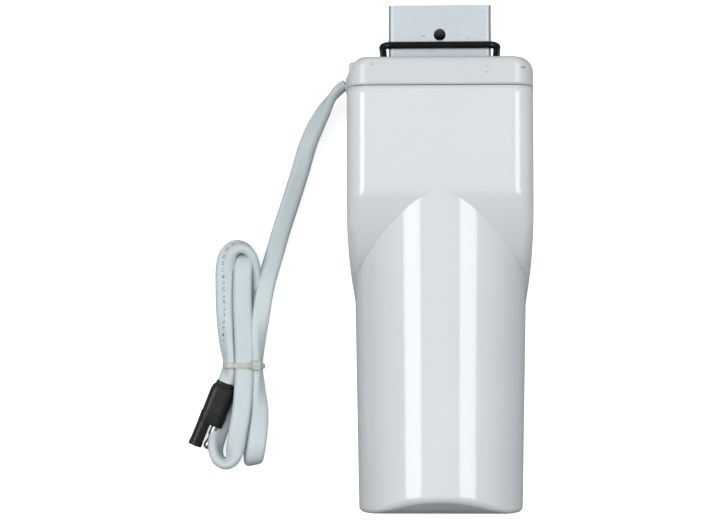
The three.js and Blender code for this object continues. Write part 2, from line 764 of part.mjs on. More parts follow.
function brushHolder() {
  const rear = brushY - brushHalfY;
  const front = brushY + brushHalfY;
  const guideEnd = brushInner + brushLength + 3.6;
  const plateRear = rear - gap - 3.9;
  const plateFront = plateRear + 2.4;
  const plate = band(commutatorRadius + 2.2, canRadius - canWall - 0.8, plateRear, plateFront);
  let body = turnedY(plate, wormX, wormZ, round);
  for (const sign of [-1, 1]) {
    body = body
      .add(sideBox(sign, brushInner + 2, guideEnd, plateFront - 1, front + 2, brushHalfZ + 2))
      .subtract(sideBox(sign, 0, brushInner + brushLength + gap, rear - gap, front + gap, brushHalfZ + gap));
  }
  for (const offset of [-boltOffset, boltOffset]) {
    body = body.subtract(boltBore(plateRear - 1, plateFront + 1, offset));
  }
  return body;
}

add("brush_holder", brushHolder(), phenolic);
[-1, 1].forEach((sign, i) => {
  const outer = brushInner + brushLength;
  const brush = sideBox(sign, brushInner, outer, brushY - brushHalfY, brushY + brushHalfY, brushHalfZ);
  add(`brush_${i + 1}`, brush, carbon);
});

const shaftFrontEnd = earTop - 4;
const wormBearing = band(shaftRadius + fit, wormBore - fit, shaftFrontEnd - 7.1, shaftFrontEnd + 0.4);
add("worm_bearing", turnedY(wormBearing, wormX, wormZ, round), bearingSteel);
const bushOuter = shaftRadius + fit + bushWall;
const frontBush = band(shaftRadius + fit, bushOuter, canFront - 6, canFront + 3);
add("shaft_bush_front", turnedY(frontBush, wormX, wormZ, round), bronze);
const rearBush = band(shaftRadius + fit, bushOuter, bellEnd + bellWall + 1.5, canRear - 4.3);
add("shaft_bush_rear", turnedY(rearBush, wormX, wormZ, round), bronze);

// ---- Rotor: shaft, worm, armature, windings and commutator ----
const shaftRearEnd = bellEnd + bellWall + 1.5;
add("motor_shaft", turnedY(band(0, shaftRadius, shaftRearEnd, shaftFrontEnd), wormX, wormZ, round), steel);

function worm() {
  const pitch = Math.PI * module;
  const root = wormRadius - toothDedendum;
  const start = wheelY - wormLength / 2;
  const core = turnedY(band(shaftRadius + fit, root, start, start + wormLength), wormX, wormZ, bossSides);
  const rootHalf = toothThickness / 2 + toothDedendum * pressureTangent;
  const tipHalf = toothThickness / 2 - toothAddendum * pressureTangent;
  const foot = root - gap;
  const ridge = polygon([[-rootHalf, foot], [-tipHalf, wormTip], [tipHalf, wormTip], [rootHalf, foot]]);
  const turns = (wormLength - 2 * rootHalf) / pitch;
  const thread = sweep(ridge, Math.round(turns * 11), (along, radius, share) => {
    const turn = (share - 0.5) * turns;
    const angle = Math.PI / 2 + turn * 2 * Math.PI;
    const y = wheelY + turn * pitch + along;
    return new THREE.Vector3(wormX + radius * Math.sin(angle), y, wormZ + radius * Math.cos(angle));
  });
  return core.add(thread);
}

const slotInner = 8.5;

function slotBars(halfWidth, inner, outer, y0, y1) {
  const bars = [];
  for (let i = 0; i < slotCount; i += 1) {
    const bar = new THREE.BoxGeometry(outer - inner, y1 - y0, 2 * halfWidth);
    bar.translate((inner + outer) / 2, (y0 + y1) / 2, 0).rotateY(((i + 0.5) * 2 * Math.PI) / slotCount);
    bars.push(solid(bar.translate(wormX, 0, wormZ)));
  }
  return bars;
}

function armatureStack() {
  let stack = turnedY(band(shaftRadius + fit, armatureRadius, stackRear, stackFront), wormX, wormZ, round);
  for (const slot of slotBars(2.3, slotInner, armatureRadius + 2, stackRear - 1, stackFront + 1)) {
    stack = stack.subtract(slot);
  }
  return stack;
}

function armatureWindings() {
  const headThickness = 9.5;
  const bore = shaftRadius + gap;
  const outer = armatureRadius - 2.3;
  const frontHead = band(bore, outer, stackFront + gap, stackFront + gap + headThickness);
  const rearHead = band(bore, outer, stackRear - gap - headThickness, stackRear - gap);
  let coils = turnedY(frontHead, wormX, wormZ, round).add(turnedY(rearHead, wormX, wormZ, round));
  for (const bar of slotBars(2.3 - gap, slotInner + gap, outer - 0.5, stackRear - 2, stackFront + 2)) {
    coils = coils.add(bar);
  }
  return coils;
}

add("worm", worm(), steel);
add("armature_stack", armatureStack(), zincSteel);
add("armature_windings", armatureWindings(), copper);
const commutator = band(shaftRadius + fit, commutatorRadius, brushY - 8, brushY + 8);
add("commutator", turnedY(commutator, wormX, wormZ, round), copper);

// ---- Inner leads from the gland to the motor's end ----
function roundOutline(radius, sides) {
  const points = [];
  for (let i = 0; i < sides; i += 1) {
    const angle = ((i + 0.5) * 2 * Math.PI) / sides;
    points.push([radius * Math.cos(angle), radius * Math.sin(angle)]);
  }
  return polygon(points);
}

// Carries an outline along a curve, its first axis level with the floor and then turned by roll(share).
function alongRoute(outline, points, steps, roll = () => 0) {
  const curve = new THREE.CatmullRomCurve3(points.map((p) => new THREE.Vector3(...p)), false, "centripetal");
  return sweep(outline, steps, (across, up, share) => {
    const tangent = curve.getTangentAt(share);
    const level = new THREE.Vector3(0, 0, 1).cross(tangent).normalize();
    const rise = tangent.clone().cross(level);
    const angle = roll(share);
    const first = level.clone().multiplyScalar(Math.cos(angle)).addScaledVector(rise, Math.sin(angle));
    const second = rise.clone().multiplyScalar(Math.cos(angle)).addScaledVector(level, -Math.sin(angle));
    return curve.getPointAt(share).addScaledVector(first, across).addScaledVector(second, up);
  });
}

const leadRadius = 1.1;
const leadStart = -side + castingWall + 2 + 3 * gap;
[
  ["lead_red", 3, 0, redVinyl],
  ["lead_black", -3, 3.5, blackVinyl],
].forEach(([name, rise, shift, look]) => {
  const runX = halfRoundRadius(lowerEnd) - coverWall - 10.2 - shift;
  const route = [
    [leadStart, outletY, outletZ + rise],
    [leadStart + 5, outletY - 0.6, outletZ + rise],
    [-runX - 2, seam + 2 - shift, 12.5 + rise],
    [-runX, seam - 8, 7.6],
    [-runX, wheelY, 7.6],
    [-runX, 0, 7.6],
    [-runX, canRear + 10, 7.6],
    [-runX, bellEnd + 2, 7.8],
    [-runX + 2, bellEnd - 7, 13],
    [-runX + 5, bellEnd - 9, 24],
    [-runX + 8, bellEnd - 5.5, 31 + shift],
    [-runX + 8.5, bellEnd - gap, 33 + shift],
  ];
  add(name, alongRoute(roundOutline(leadRadius, 6), route, 36), look);
});

// ---- Supply cable on the -X side: lead, hank, tie and two-pole plug ----
const cableRoute = [
  [-side - 2 - 3 * gap, outletY, outletZ],
  [-side - 5.2, outletY - 0.3, outletZ - 0.1],
  [-side - 9.8, 90.4, 13.5],
  [-side - 16.5, 80.3, 9.5],
  [-side - 23.2, 66.8, 5.6],
  [-side - 28, 51.5, 3.4],
  [-side - 32.9, 35.8, 2.9],
  [-side - 37.8, 20.6, 3.6],
  [-side - 42.5, 3.1, 6.8],
];

function flatCableOutline() {
  const radius = cableThickness / 2;
  const offset = cableWidth / 2 - radius;
  const points = [];
  for (let i = 0; i <= 4; i += 1) {
    const angle = -Math.PI / 2 + (i * Math.PI) / 4;
    points.push([offset + radius * Math.cos(angle), radius * Math.sin(angle)]);
  }
  for (const [x, y] of [...points]) {
    points.push([-x, -y]);
  }
  return polygon(points);
}

const edgeOnToFlat = (share) => (Math.PI / 2) * (1 - THREE.MathUtils.smoothstep(share, 0.02, 0.4));
add("cable_lead", alongRoute(flatCableOutline(), cableRoute, 10, edgeOnToFlat), cableGrey);

const tieX = -side - 57.9;
const tieY = -54.7;
const tieLength = 2.7;
const tieBand = 1.1;
const bundleWidth = 20.8;
const bundleHeight = 14.6;
const bundleBottom = 1.8;

function cableHank() {
  const lobeTop = 22;
  const strandTop = 15;
  const upper = prismZ(capsule(tieX - 3.6, 0, 12, tieX - 0.1, -46, 10), gap, lobeTop, 7);
  const strand = prismZ(capsule(tieX + 13.5, -2, 4.8, tieX + 6.4, -46, 4.5), gap, strandTop, 6);
  const lowerRight = prismZ(capsule(tieX + 2.9, -64, 6.6, tieX + 3.6, -97, 10.6), gap, lobeTop, screwSides);
  const lowerLeft = prismZ(capsule(tieX - 0.1, -88, 5, tieX - 8.4, -102.2, 9), gap, lobeTop, screwSides);
  const waistHalf = 3.6;
  const waist = roundedRect(tieX, bundleBottom + bundleHeight / 2, bundleWidth, bundleHeight, 4);
  return upper
    .add(strand)
    .add(lowerRight)
    .add(lowerLeft)
    .subtract(box(tieX - 30, tieX + 30, tieY - waistHalf, tieY + waistHalf, -1, 2 * lobeTop))
    .add(prismY(waist, tieY - waistHalf - 3, tieY + waistHalf + 3, 4));
}

function cableTie() {
  const loop = (grow) =>
    roundedRect(tieX, bundleBottom + bundleHeight / 2, bundleWidth + grow, bundleHeight + grow, 4 + grow / 2);
  const bandTop = bundleBottom + bundleHeight + gap;
  const head = box(tieX + 4.6, tieX + 9.2, tieY - 2.6, tieY + 2.6, bandTop - 0.01, bandTop + 3.8);
  return prismY(loop(2 * (gap + tieBand)), tieY - tieLength / 2, tieY + tieLength / 2, 4)
    .subtract(prismY(loop(2 * gap), tieY - tieLength, tieY + tieLength, 4))
    .add(head);
}

add("cable_hank", cableHank(), cableGrey);
add("cable_tie", cableTie(), nylon);

// The plug's own frame: its open end faces -Y, and the shrouded pole is at -X.
const plug = new THREE.Group();
plug.position.set(tieX - 18.8, -86, 8.4);
plug.rotation.set(0.08, 0, -0.397, "ZXY");
actuatorHead.add(plug);

const poleOffset = 3.15;
const poleRadius = 3.4;
const plugBodyLength = 22;
const shroudLength = 13.5;
const contactRadius = 2;

function plugBody() {
  const outline = roundedRect(0, 0, 2 * (poleOffset + poleRadius), 2 * poleRadius, poleRadius - 0.01);
  const neck = roundedRect(0, 0, cableWidth + 0.6, cableThickness + 0.8, 2.6);
  return prismY(outline, 0, plugBodyLength, 5)
    .add(prismY(neck, plugBodyLength - 1, plugBodyLength + 3, 4))
    .add(turnedY(band(0, poleRadius, -shroudLength, 1), -poleOffset, 0, bossSides))
    .subtract(turnedY(band(0, contactRadius + 0.8, -shroudLength - 1, 6), -poleOffset, 0, bossSides))
    .subtract(turnedY(band(0, contactRadius + gap, -1, 6), poleOffset, 0, bossSides));
}

function plugPin() {
  const neckRadius = 1.5;
  const profile = [
    [0, -12.6],
    [1.2, -12.6],
    [contactRadius, -11.4],
    [contactRadius, -9],
    [neckRadius, -8.2],
    [neckRadius, -5.6],
    [contactRadius, -4.8],
    [contactRadius, 5.6],
    [0, 5.6],
  ];
  return turnedY(profile, poleOffset, 0, bossSides);
}

add("plug_body", plugBody(), blackVinyl, plug);
add("plug_pin", plugPin(), nickel, plug);
const socketContact = band(contactRadius - 0.7, contactRadius + 0.4, -shroudLength + 2.5, 5.6);
add("plug_socket", turnedY(socketContact, -poleOffset, 0, bossSides), nickel, plug);

export default actuatorHead;
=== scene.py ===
import json
import math

import bmesh
import bpy
import numpy as np
from mathutils import Matrix, Vector


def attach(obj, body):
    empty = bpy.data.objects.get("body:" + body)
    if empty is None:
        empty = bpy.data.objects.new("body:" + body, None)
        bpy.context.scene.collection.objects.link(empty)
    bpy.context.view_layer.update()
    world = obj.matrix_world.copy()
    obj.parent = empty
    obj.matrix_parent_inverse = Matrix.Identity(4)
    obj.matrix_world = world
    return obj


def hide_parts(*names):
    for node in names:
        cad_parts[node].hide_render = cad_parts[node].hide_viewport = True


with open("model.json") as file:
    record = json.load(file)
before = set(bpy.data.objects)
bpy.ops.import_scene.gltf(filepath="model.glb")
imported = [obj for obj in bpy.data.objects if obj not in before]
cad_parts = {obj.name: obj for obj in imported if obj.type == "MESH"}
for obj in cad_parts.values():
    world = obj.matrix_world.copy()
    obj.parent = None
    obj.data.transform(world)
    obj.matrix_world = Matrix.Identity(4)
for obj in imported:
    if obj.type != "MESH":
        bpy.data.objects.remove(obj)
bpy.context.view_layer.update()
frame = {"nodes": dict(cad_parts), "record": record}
mm = 0.001
print("frame loaded:", len(frame["nodes"]), "nodes")


# camera: a long lens over the front, with the spigot up
camera = {
    "lens": 115.15,
    "target": (-42.2, 0.4, 40.0),
    "distance": 1210.0,
    "towardsEye": (0.0391, -0.0612, 1.0),
}


def placeCamera(settings):
    eye = bpy.data.cameras.new("productCamera")
    eye.lens = settings["lens"]
    eye.sensor_width = 36.0
    eye.clip_end = 20.0
    holder = bpy.data.objects.new("productCamera", eye)
    bpy.context.scene.collection.objects.link(holder)
    back = Vector(settings["towardsEye"]).normalized()
    right = Vector((0, 1, 0)).cross(back).normalized()
    up = back.cross(right)
    place = Matrix((right, up, back)).transposed().to_4x4()
    place.translation = (Vector(settings["target"]) + back * settings["distance"]) * mm
    holder.matrix_world = place
    bpy.context.scene.camera = holder


placeCamera(camera)
print("camera placed")


def linear(hexColour):
    channels = [int(hexColour[i:i + 2], 16) / 255 for i in (1, 3, 5)]
    return [c / 12.92 if c <= 0.04045 else ((c + 0.055) / 1.055) ** 2.4 for c in channels] + [1.0]


def addNode(tree, kind, settings, links=None):
    node = tree.nodes.new(kind)
    for key, value in settings.items():
        if isinstance(key, str) and hasattr(node, key):
            setattr(node, key, value)
        else:
            node.inputs[key].default_value = value
    for key, socket in (links or {}).items():
        tree.links.new(socket, node.inputs[key])
    return node


def perMetre(sizeInMm):
    return 1000.0 / sizeInMm  # texture scale for features of that size on object coordinates


def startMaterial(name, settings):
    made = bpy.data.materials.new(name)
    made.use_nodes = True
    tree = made.node_tree
    shader = tree.nodes["Principled BSDF"]
    for key, value in settings.items():
        shader.inputs[key].default_value = value
    place = addNode(tree, "ShaderNodeTexCoord", {}).outputs["Object"]
    return made, tree, shader, place


def multiplied(tree, first, second):
    return addNode(tree, "ShaderNodeMath", {"operation": "MULTIPLY"}, {0: first, 1: second}).outputs[0]


def mixColours(tree, factor, first, second):
    mix = addNode(tree, "ShaderNodeMix", {"data_type": "RGBA"}, {0: factor})
    for index, value in ((6, first), (7, second)):
        if isinstance(value, list):
            mix.inputs[index].default_value = value
        else:
            tree.links.new(value, mix.inputs[index])
    return mix.outputs[2]


def variedMaterial(name, colours, roughness, grain, settings, stretch=(1, 1, 1)):
    # two close colours and a roughness range driven by one noise, and a fine bump from another
    made, tree, shader, place = startMaterial(name, settings)
    stretched = addNode(tree, "ShaderNodeMapping", {"Scale": stretch}, {"Vector": place}).outputs[0]
    cloud = addNode(tree, "ShaderNodeTexNoise", {"Scale": perMetre(grain["patch"]), "Detail": 5.0},
                    {"Vector": stretched}).outputs[0]
    spread = addNode(tree, "ShaderNodeMapRange", {"From Min": 0.35, "From Max": 0.65}, {"Value": cloud})
    colour = mixColours(tree, spread.outputs[0], linear(colours[0]), linear(colours[1]))
    tree.links.new(colour, shader.inputs["Base Color"])
    rough = addNode(tree, "ShaderNodeMapRange", {"From Min": 0.3, "From Max": 0.7, "To Min": roughness[0],
                                                 "To Max": roughness[1]}, {"Value": cloud})
    tree.links.new(rough.outputs[0], shader.inputs["Roughness"])
    fine = addNode(tree, "ShaderNodeTexNoise", {"Scale": perMetre(grain["fine"]), "Detail": 3.0},
                   {"Vector": stretched}).outputs[0]
    bump = addNode(tree, "ShaderNodeBump", {"Strength": grain["bump"], "Distance": grain["height"] * mm},
                   {"Height": fine})
    tree.links.new(bump.outputs[0], shader.inputs["Normal"])
    return made


# moulded ABS with a polished face: cool white, with sharp lamp streaks and a trace of flow ripple
moulded = variedMaterial("polishedWhiteABS", ("#DCE0E2", "#DFE3E5"), (0.10, 0.13),
                         {"patch": 60.0, "fine": 14.0, "bump": 0.05, "height": 0.02},
                         {"IOR": 1.53, "Subsurface Weight": 0.05, "Subsurface Scale": 0.002})


def paintedCasting(settings):
    # gloss enamel over a zinc die casting: cool white, faintly pebbled, with small grey chips near the edges
    made, tree, shader, place = startMaterial("glossWhiteEnamelOnCasting", {"IOR": 1.5})
    cloud = addNode(tree, "ShaderNodeTexNoise", {"Scale": perMetre(18.0), "Detail": 6.0},
                    {"Vector": place}).outputs[0]
    paint = mixColours(tree, cloud, linear(settings["paint"][0]), linear(settings["paint"][1]))
    ragged = addNode(tree, "ShaderNodeTexNoise", {"Scale": perMetre(1.1), "Detail": 4.0},
                     {"Vector": place}).outputs[0]
    chipped = None
    for centre, radius, depth in settings["chips"]:
        far = addNode(tree, "ShaderNodeVectorMath", {"operation": "DISTANCE", 1: [c * mm for c in centre]},
                      {0: place}).outputs["Value"]
        near = addNode(tree, "ShaderNodeMapRange", {"From Min": radius * mm, "From Max": radius * 0.3 * mm},
                       {"Value": far}).outputs[0]
        rough = multiplied(tree, near, ragged)
        spot = addNode(tree, "ShaderNodeMapRange", {"From Min": 0.2, "From Max": 0.36, "To Max": depth},
                       {"Value": rough}).outputs[0]
        if chipped is None:
            chipped = spot
        else:
            chipped = addNode(tree, "ShaderNodeMath", {"operation": "MAXIMUM"},
                              {0: chipped, 1: spot}).outputs[0]
    tree.links.new(mixColours(tree, chipped, paint, linear(settings["bare"])), shader.inputs["Base Color"])
    gloss = addNode(tree, "ShaderNodeMapRange", {"To Min": 0.2, "To Max": 0.28}, {"Value": cloud})
    tree.links.new(gloss.outputs[0], shader.inputs["Roughness"])
    pebble = addNode(tree, "ShaderNodeTexNoise", {"Scale": perMetre(1.6), "Detail": 4.0},
                     {"Vector": place}).outputs[0]
    raised = addNode(tree, "ShaderNodeMath", {"operation": "SUBTRACT"}, {0: pebble, 1: chipped}).outputs[0]
    bump = addNode(tree, "ShaderNodeBump", {"Strength": 0.14, "Distance": 0.1 * mm}, {"Height": raised})
    tree.links.new(bump.outputs[0], shader.inputs["Normal"])
    return made


enamel = paintedCasting({
    "paint": ("#D2D6D8", "#D7DBDC"),
    "bare": "#5E5F60",
    # middle, radius and how deep each chip goes
    "chips": [
        ((-43.9, 100.4, 68.0), 1.9, 0.8), ((-34.3, 98.4, 78.0), 1.0, 0.4), ((24.4, 97.2, 78.0), 1.0, 0.2),
        ((24.2, 94.2, 78.0), 1.1, 0.25), ((42.0, 96.6, 76.4), 0.9, 0.6), ((42.7, 96.6, 76.0), 0.8, 0.7),
        ((43.4, 96.7, 75.5), 0.9, 0.6),
    ],
})


def spigotMetal(settings):
    # extruded aluminium: cool satin grey with fine draw lines along it and a few wandering scuffs, with painted shade
    # inside its bore and along its long corners
    made, tree, shader, place = startMaterial("extrudedAluminiumScuffed", {"Metallic": 1.0})
    drawn = addNode(tree, "ShaderNodeMapping", {"Scale": (1, 0.03, 1)}, {"Vector": place}).outputs[0]
    lines = addNode(tree, "ShaderNodeTexNoise", {"Scale": perMetre(0.7), "Detail": 4.0},
                    {"Vector": drawn}).outputs[0]
    patches = addNode(tree, "ShaderNodeTexNoise", {"Scale": perMetre(16.0), "Detail": 7.0, "Roughness": 0.6},
                      {"Vector": place}).outputs[0]
    turned = addNode(tree, "ShaderNodeMapping", {"Rotation": (0, 0, 0.9), "Scale": (0.16, 1, 1)},
                     {"Vector": place}).outputs[0]
    scuffNoise = addNode(tree, "ShaderNodeTexNoise", {"Scale": perMetre(1.4), "Detail": 3.0, "Distortion": 0.6},
                         {"Vector": turned}).outputs[0]
    scuff = addNode(tree, "ShaderNodeMapRange", {"From Min": 0.66, "From Max": 0.72},
                    {"Value": scuffNoise}).outputs[0]
    worn = mixColours(tree, patches, linear("#D9E2E8"), linear("#E2E9ED"))
    scuffed = mixColours(tree, scuff, worn, linear("#B4BDC4"))
    # painted shade: the tube's inside is darkened towards near black, deepening away from its mouth
    fromAxis = addNode(tree, "ShaderNodeVectorMath", {
        "operation": "SUBTRACT", 1: (0, 0, settings["axisZ"])}, {0: place})
    mirrored = addNode(tree, "ShaderNodeVectorMath", {"operation": "ABSOLUTE"},
                       {0: fromAxis.outputs[0]}).outputs[0]
    reach = addNode(tree, "ShaderNodeSeparateXYZ", {}, {"Vector": mirrored}).outputs
    inX = addNode(tree, "ShaderNodeMath", {"operation": "LESS_THAN", 1: settings["boreX"]},
                  {0: reach[0]}).outputs[0]
    inZ = addNode(tree, "ShaderNodeMath", {"operation": "LESS_THAN", 1: settings["boreZ"]},
                  {0: reach[2]}).outputs[0]
    bore = multiplied(tree, inX, inZ)
    mouth, deep = settings["boreShadeFade"]
    depth = addNode(tree, "ShaderNodeMapRange", {"From Min": mouth, "From Max": deep},
                    {"Value": reach[1]}).outputs[0]
    boreShade = multiplied(tree, bore, depth)
    # painted shade: the long corners are darkened where their rounding turns away from the light
    inner, outer = settings["corner"]
    corner = addNode(tree, "ShaderNodeMapRange", {"From Min": inner, "From Max": outer,
                                                  "To Max": settings["cornerShade"]}, {"Value": reach[0]}).outputs[0]
    shadedCorners = mixColours(tree, corner, scuffed, linear("#8E989F"))
    tree.links.new(mixColours(tree, boreShade, shadedCorners, linear("#26292C")), shader.inputs["Base Color"])
    rough = addNode(tree, "ShaderNodeMapRange", {"To Min": 0.5, "To Max": 0.62}, {"Value": patches}).outputs[0]
    tree.links.new(rough, shader.inputs["Roughness"])
    relief = addNode(tree, "ShaderNodeMath", {"operation": "MULTIPLY_ADD", 1: 0.6}, {0: lines, 2: scuff})
    bump = addNode(tree, "ShaderNodeBump", {"Strength": 0.25, "Distance": 0.03 * mm},
                   {"Height": relief.outputs[0]})
    tree.links.new(bump.outputs[0], shader.inputs["Normal"])
    return made


aluminium = spigotMetal({
    # metres: the bore's half sizes with a little to spare, where the painted shade in the bore fades in, and where
    # the painted shade on the long corners begins and ends
    "axisZ": 0.042,
    "boreX": 0.0232,
    "boreZ": 0.0167,
    "boreShadeFade": (0.131, 0.12),
    "corner": (0.0242, 0.0262),
    # strength of the painted shade on the long corners
    "cornerShade": 0.6,
})

# nitrile rubber cord: near black, smooth and a little shiny, dulled in patches by handling
rubber = variedMaterial("smoothBlackNitrile", ("#060607", "#0B0B0D"), (0.18, 0.26),
                        {"patch": 9.0, "fine": 0.6, "bump": 0.12, "height": 0.03},
                        {"IOR": 1.5, "Specular IOR Level": 0.3})

# soft PVC cable jacket: cool white-grey, waxy, with the drag marks of its extrusion
vinylGrain = {"patch": 11.0, "fine": 0.9, "bump": 0.1, "height": 0.05}


def cableJacket(settings):
    made, tree, shader, place = startMaterial("softWhiteGreyPVC", {
        "IOR": 1.5, "Subsurface Weight": 0.12, "Subsurface Scale": 0.002})
    cloud = addNode(tree, "ShaderNodeTexNoise", {"Scale": perMetre(vinylGrain["patch"]), "Detail": 6.0},
                    {"Vector": place}).outputs[0]
    jacket = mixColours(tree, cloud, linear("#C6D2D5"), linear("#D3DDE0"))
    across = addNode(tree, "ShaderNodeUVMap", {"uv_map": "along"}).outputs[0]
    split = addNode(tree, "ShaderNodeSeparateXYZ", {}, {"Vector": across}).outputs
    # generic printed dashes down the middle of one face, on one stretch only
    ticks = addNode(tree, "ShaderNodeMath", {"operation": "FRACT"}, {
        0: addNode(tree, "ShaderNodeMath", {"operation": "MULTIPLY", 1: settings["dashes"]},
                   {0: split[0]}).outputs[0]}).outputs[0]
    broken = addNode(tree, "ShaderNodeTexNoise", {"Scale": perMetre(1.3), "Detail": 2.0},
                     {"Vector": place}).outputs[0]
    inked = [
        addNode(tree, "ShaderNodeMath", {"operation": "LESS_THAN", 1: settings["fill"]}, {0: ticks}).outputs[0],
        addNode(tree, "ShaderNodeMath", {"operation": "COMPARE", 1: settings["middle"], 2: settings["half"]},
                {0: split[1]}).outputs[0],
        addNode(tree, "ShaderNodeMath", {"operation": "COMPARE", 1: settings["at"], 2: settings["reach"]},
                {0: split[0]}).outputs[0],
        addNode(tree, "ShaderNodeMapRange", {"From Min": 0.38, "From Max": 0.62}, {"Value": broken}).outputs[0],
    ]
    ink = inked[0]
    for other in inked[1:]:
        ink = multiplied(tree, ink, other)
    tree.links.new(mixColours(tree, ink, jacket, linear("#7C8588")), shader.inputs["Base Color"])
    rough = addNode(tree, "ShaderNodeMapRange", {"To Min": 0.36, "To Max": 0.52}, {"Value": cloud}).outputs[0]
    tree.links.new(rough, shader.inputs["Roughness"])
    fine = addNode(tree, "ShaderNodeTexNoise", {"Scale": perMetre(vinylGrain["fine"]), "Detail": 3.0},
                   {"Vector": place}).outputs[0]
    bump = addNode(tree, "ShaderNodeBump", {"Strength": vinylGrain["bump"], "Distance": vinylGrain["height"] * mm},
                   {"Height": fine})
    tree.links.new(bump.outputs[0], shader.inputs["Normal"])
    return made


jacketVinyl = cableJacket({
    "dashes": 190.0,
    "fill": 0.62,
    "middle": 0.6,
    "half": 0.028,
    "at": 0.915,
    "reach": 0.05,
})

# natural nylon 66 tie: milky, half see-through
tieNylon = variedMaterial("naturalNylon66", ("#D8DCD6", "#E8EAE4"), (0.26, 0.4),
                          {"patch": 3.0, "fine": 0.5, "bump": 0.15, "height": 0.03},
                          {"IOR": 1.53, "Transmission Weight": 0.35, "Subsurface Weight": 0.2,
                           "Subsurface Scale": 0.001})
# moulded black PVC: deep grey-black with a soft sheen on its edges
plugVinyl = variedMaterial("mouldedBlackPVC", ("#0C0D0E", "#141517"), (0.3, 0.46),
                           {"patch": 4.0, "fine": 0.7, "bump": 0.2, "height": 0.05},
                           {"IOR": 1.53, "Specular IOR Level": 0.4})
# nickel-plated brass: warm bright metal with tiny turning lines
brightNickel = variedMaterial("nickelPlatedBrass", ("#B9B5AB", "#D0CCC2"), (0.12, 0.24),
                              {"patch": 2.0, "fine": 0.3, "bump": 0.1, "height": 0.01}, {"Metallic": 1.0})

innerFinishes = {
    # machined steel: mid grey, fine tool marks
    "steel": variedMaterial("machinedSteel", ("#9A9EA3", "#B4B8BC"), (0.26, 0.42),
                            {"patch": 6.0, "fine": 0.4, "bump": 0.2, "height": 0.02}, {"Metallic": 1.0}),
    # zinc-plated pressed steel: pale grey with faint blooms
    "zinc_steel": variedMaterial("zincPlatedSteel", ("#B3B8B5", "#CACDC6"), (0.3, 0.48),
                                 {"patch": 9.0, "fine": 0.8, "bump": 0.15, "height": 0.02}, {"Metallic": 1.0}),
    # bare die-cast aluminium alloy: darker grey, pebbled
    "cast_alloy": variedMaterial("bareDieCastAlloy", ("#85898C", "#9EA2A5"), (0.45, 0.62),
                                 {"patch": 7.0, "fine": 0.7, "bump": 0.4, "height": 0.06}, {"Metallic": 1.0}),
    # ground bearing steel: bright, nearly a mirror
    "bearing_steel": variedMaterial("groundBearingSteel", ("#C2C6C9", "#D3D6D8"), (0.12, 0.2),
                                    {"patch": 5.0, "fine": 0.3, "bump": 0.08, "height": 0.01}, {"Metallic": 1.0}),
    # machined tin bronze: warm yellow-brown, fine lines
    "bronze": variedMaterial("machinedTinBronze", ("#A87436", "#C08C48"), (0.28, 0.42),
                             {"patch": 6.0, "fine": 0.4, "bump": 0.15, "height": 0.02}, {"Metallic": 1.0}),
    # sintered ferrite: charcoal, chalky
    "ferrite": variedMaterial("sinteredFerrite", ("#28292B", "#343538"), (0.6, 0.78),
                              {"patch": 4.0, "fine": 0.5, "bump": 0.3, "height": 0.04}, {"IOR": 1.6}),
    # enamelled copper wire: orange-brown under clear lacquer, ribbed by its turns
    "copper": variedMaterial("enamelledCopper", ("#A4532A", "#C06A38"), (0.22, 0.36),
                             {"patch": 3.0, "fine": 0.6, "bump": 0.5, "height": 0.1}, {"Metallic": 1.0},
                             (1, 0.2, 1)),
    # pressed carbon: dull black
    "carbon": variedMaterial("pressedCarbon", ("#19191A", "#242425"), (0.7, 0.85),
                             {"patch": 2.0, "fine": 0.4, "bump": 0.3, "height": 0.03}, {"IOR": 1.6}),
    # phenolic paper laminate: brown, satin
    "phenolic": variedMaterial("phenolicLaminate", ("#46311F", "#57402B"), (0.45, 0.6),
                               {"patch": 5.0, "fine": 0.6, "bump": 0.2, "height": 0.03}, {"IOR": 1.55}),
    # red PVC wire insulation: saturated, waxy
    "red_vinyl": variedMaterial("redWirePVC", ("#9E1717", "#B22020"), (0.38, 0.5),
                                {"patch": 5.0, "fine": 0.7, "bump": 0.1, "height": 0.02}, {"IOR": 1.5}),
}
slotFinishes = dict(innerFinishes)
slotFinishes.update({
    "gloss_cover": moulded, "painted_casting": enamel, "spigot_aluminium": aluminium, "black_rubber": rubber,
    "cable_vinyl": jacketVinyl, "nylon": tieNylon, "black_vinyl": plugVinyl, "nickel": brightNickel,
})
for subpart in frame["record"]["subparts"]:
    carried = frame["nodes"][subpart["node"]]
    carried.data.materials.clear()
    carried.data.materials.append(slotFinishes[subpart["material_slot"]])
print("finishes made:", len(bpy.data.materials))


def finishPiece(name, mesh, finish, nodes, body="head"):
    mesh.materials.clear()
    mesh.materials.append(finish)
    piece = bpy.data.objects.new(name, mesh)
    bpy.context.scene.collection.objects.link(piece)
    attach(piece, body)
    if nodes:
        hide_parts(*nodes)
    return piece


def meshFrom(bm, name, sharpAngle=None, weld=0.002):
    # millimetres become metres, and faces are smooth up to the angle
    bmesh.ops.remove_doubles(bm, verts=bm.verts, dist=weld)
    bmesh.ops.recalc_face_normals(bm, faces=bm.faces)
    bmesh.ops.scale(bm, vec=(mm, mm, mm), verts=bm.verts)
    mesh = bpy.data.meshes.new(name)
    bm.to_mesh(mesh)
    bm.free()
    mesh.polygons.foreach_set("use_smooth", [True] * len(mesh.polygons))
    if sharpAngle is not None:
        mesh.set_sharp_from_angle(angle=math.radians(sharpAngle))
    return mesh


def sheetGrid(columns, rows):
    # a unit grid and its vertices by column and row
    bm = bmesh.new()
    bmesh.ops.create_grid(bm, x_segments=columns, y_segments=rows, size=0.5)
    byPlace = {}
    for vert in bm.verts:
        key = (round((vert.co.x + 0.5) * columns), round((vert.co.y + 0.5) * rows))
        byPlace[key] = vert
    return bm, byPlace


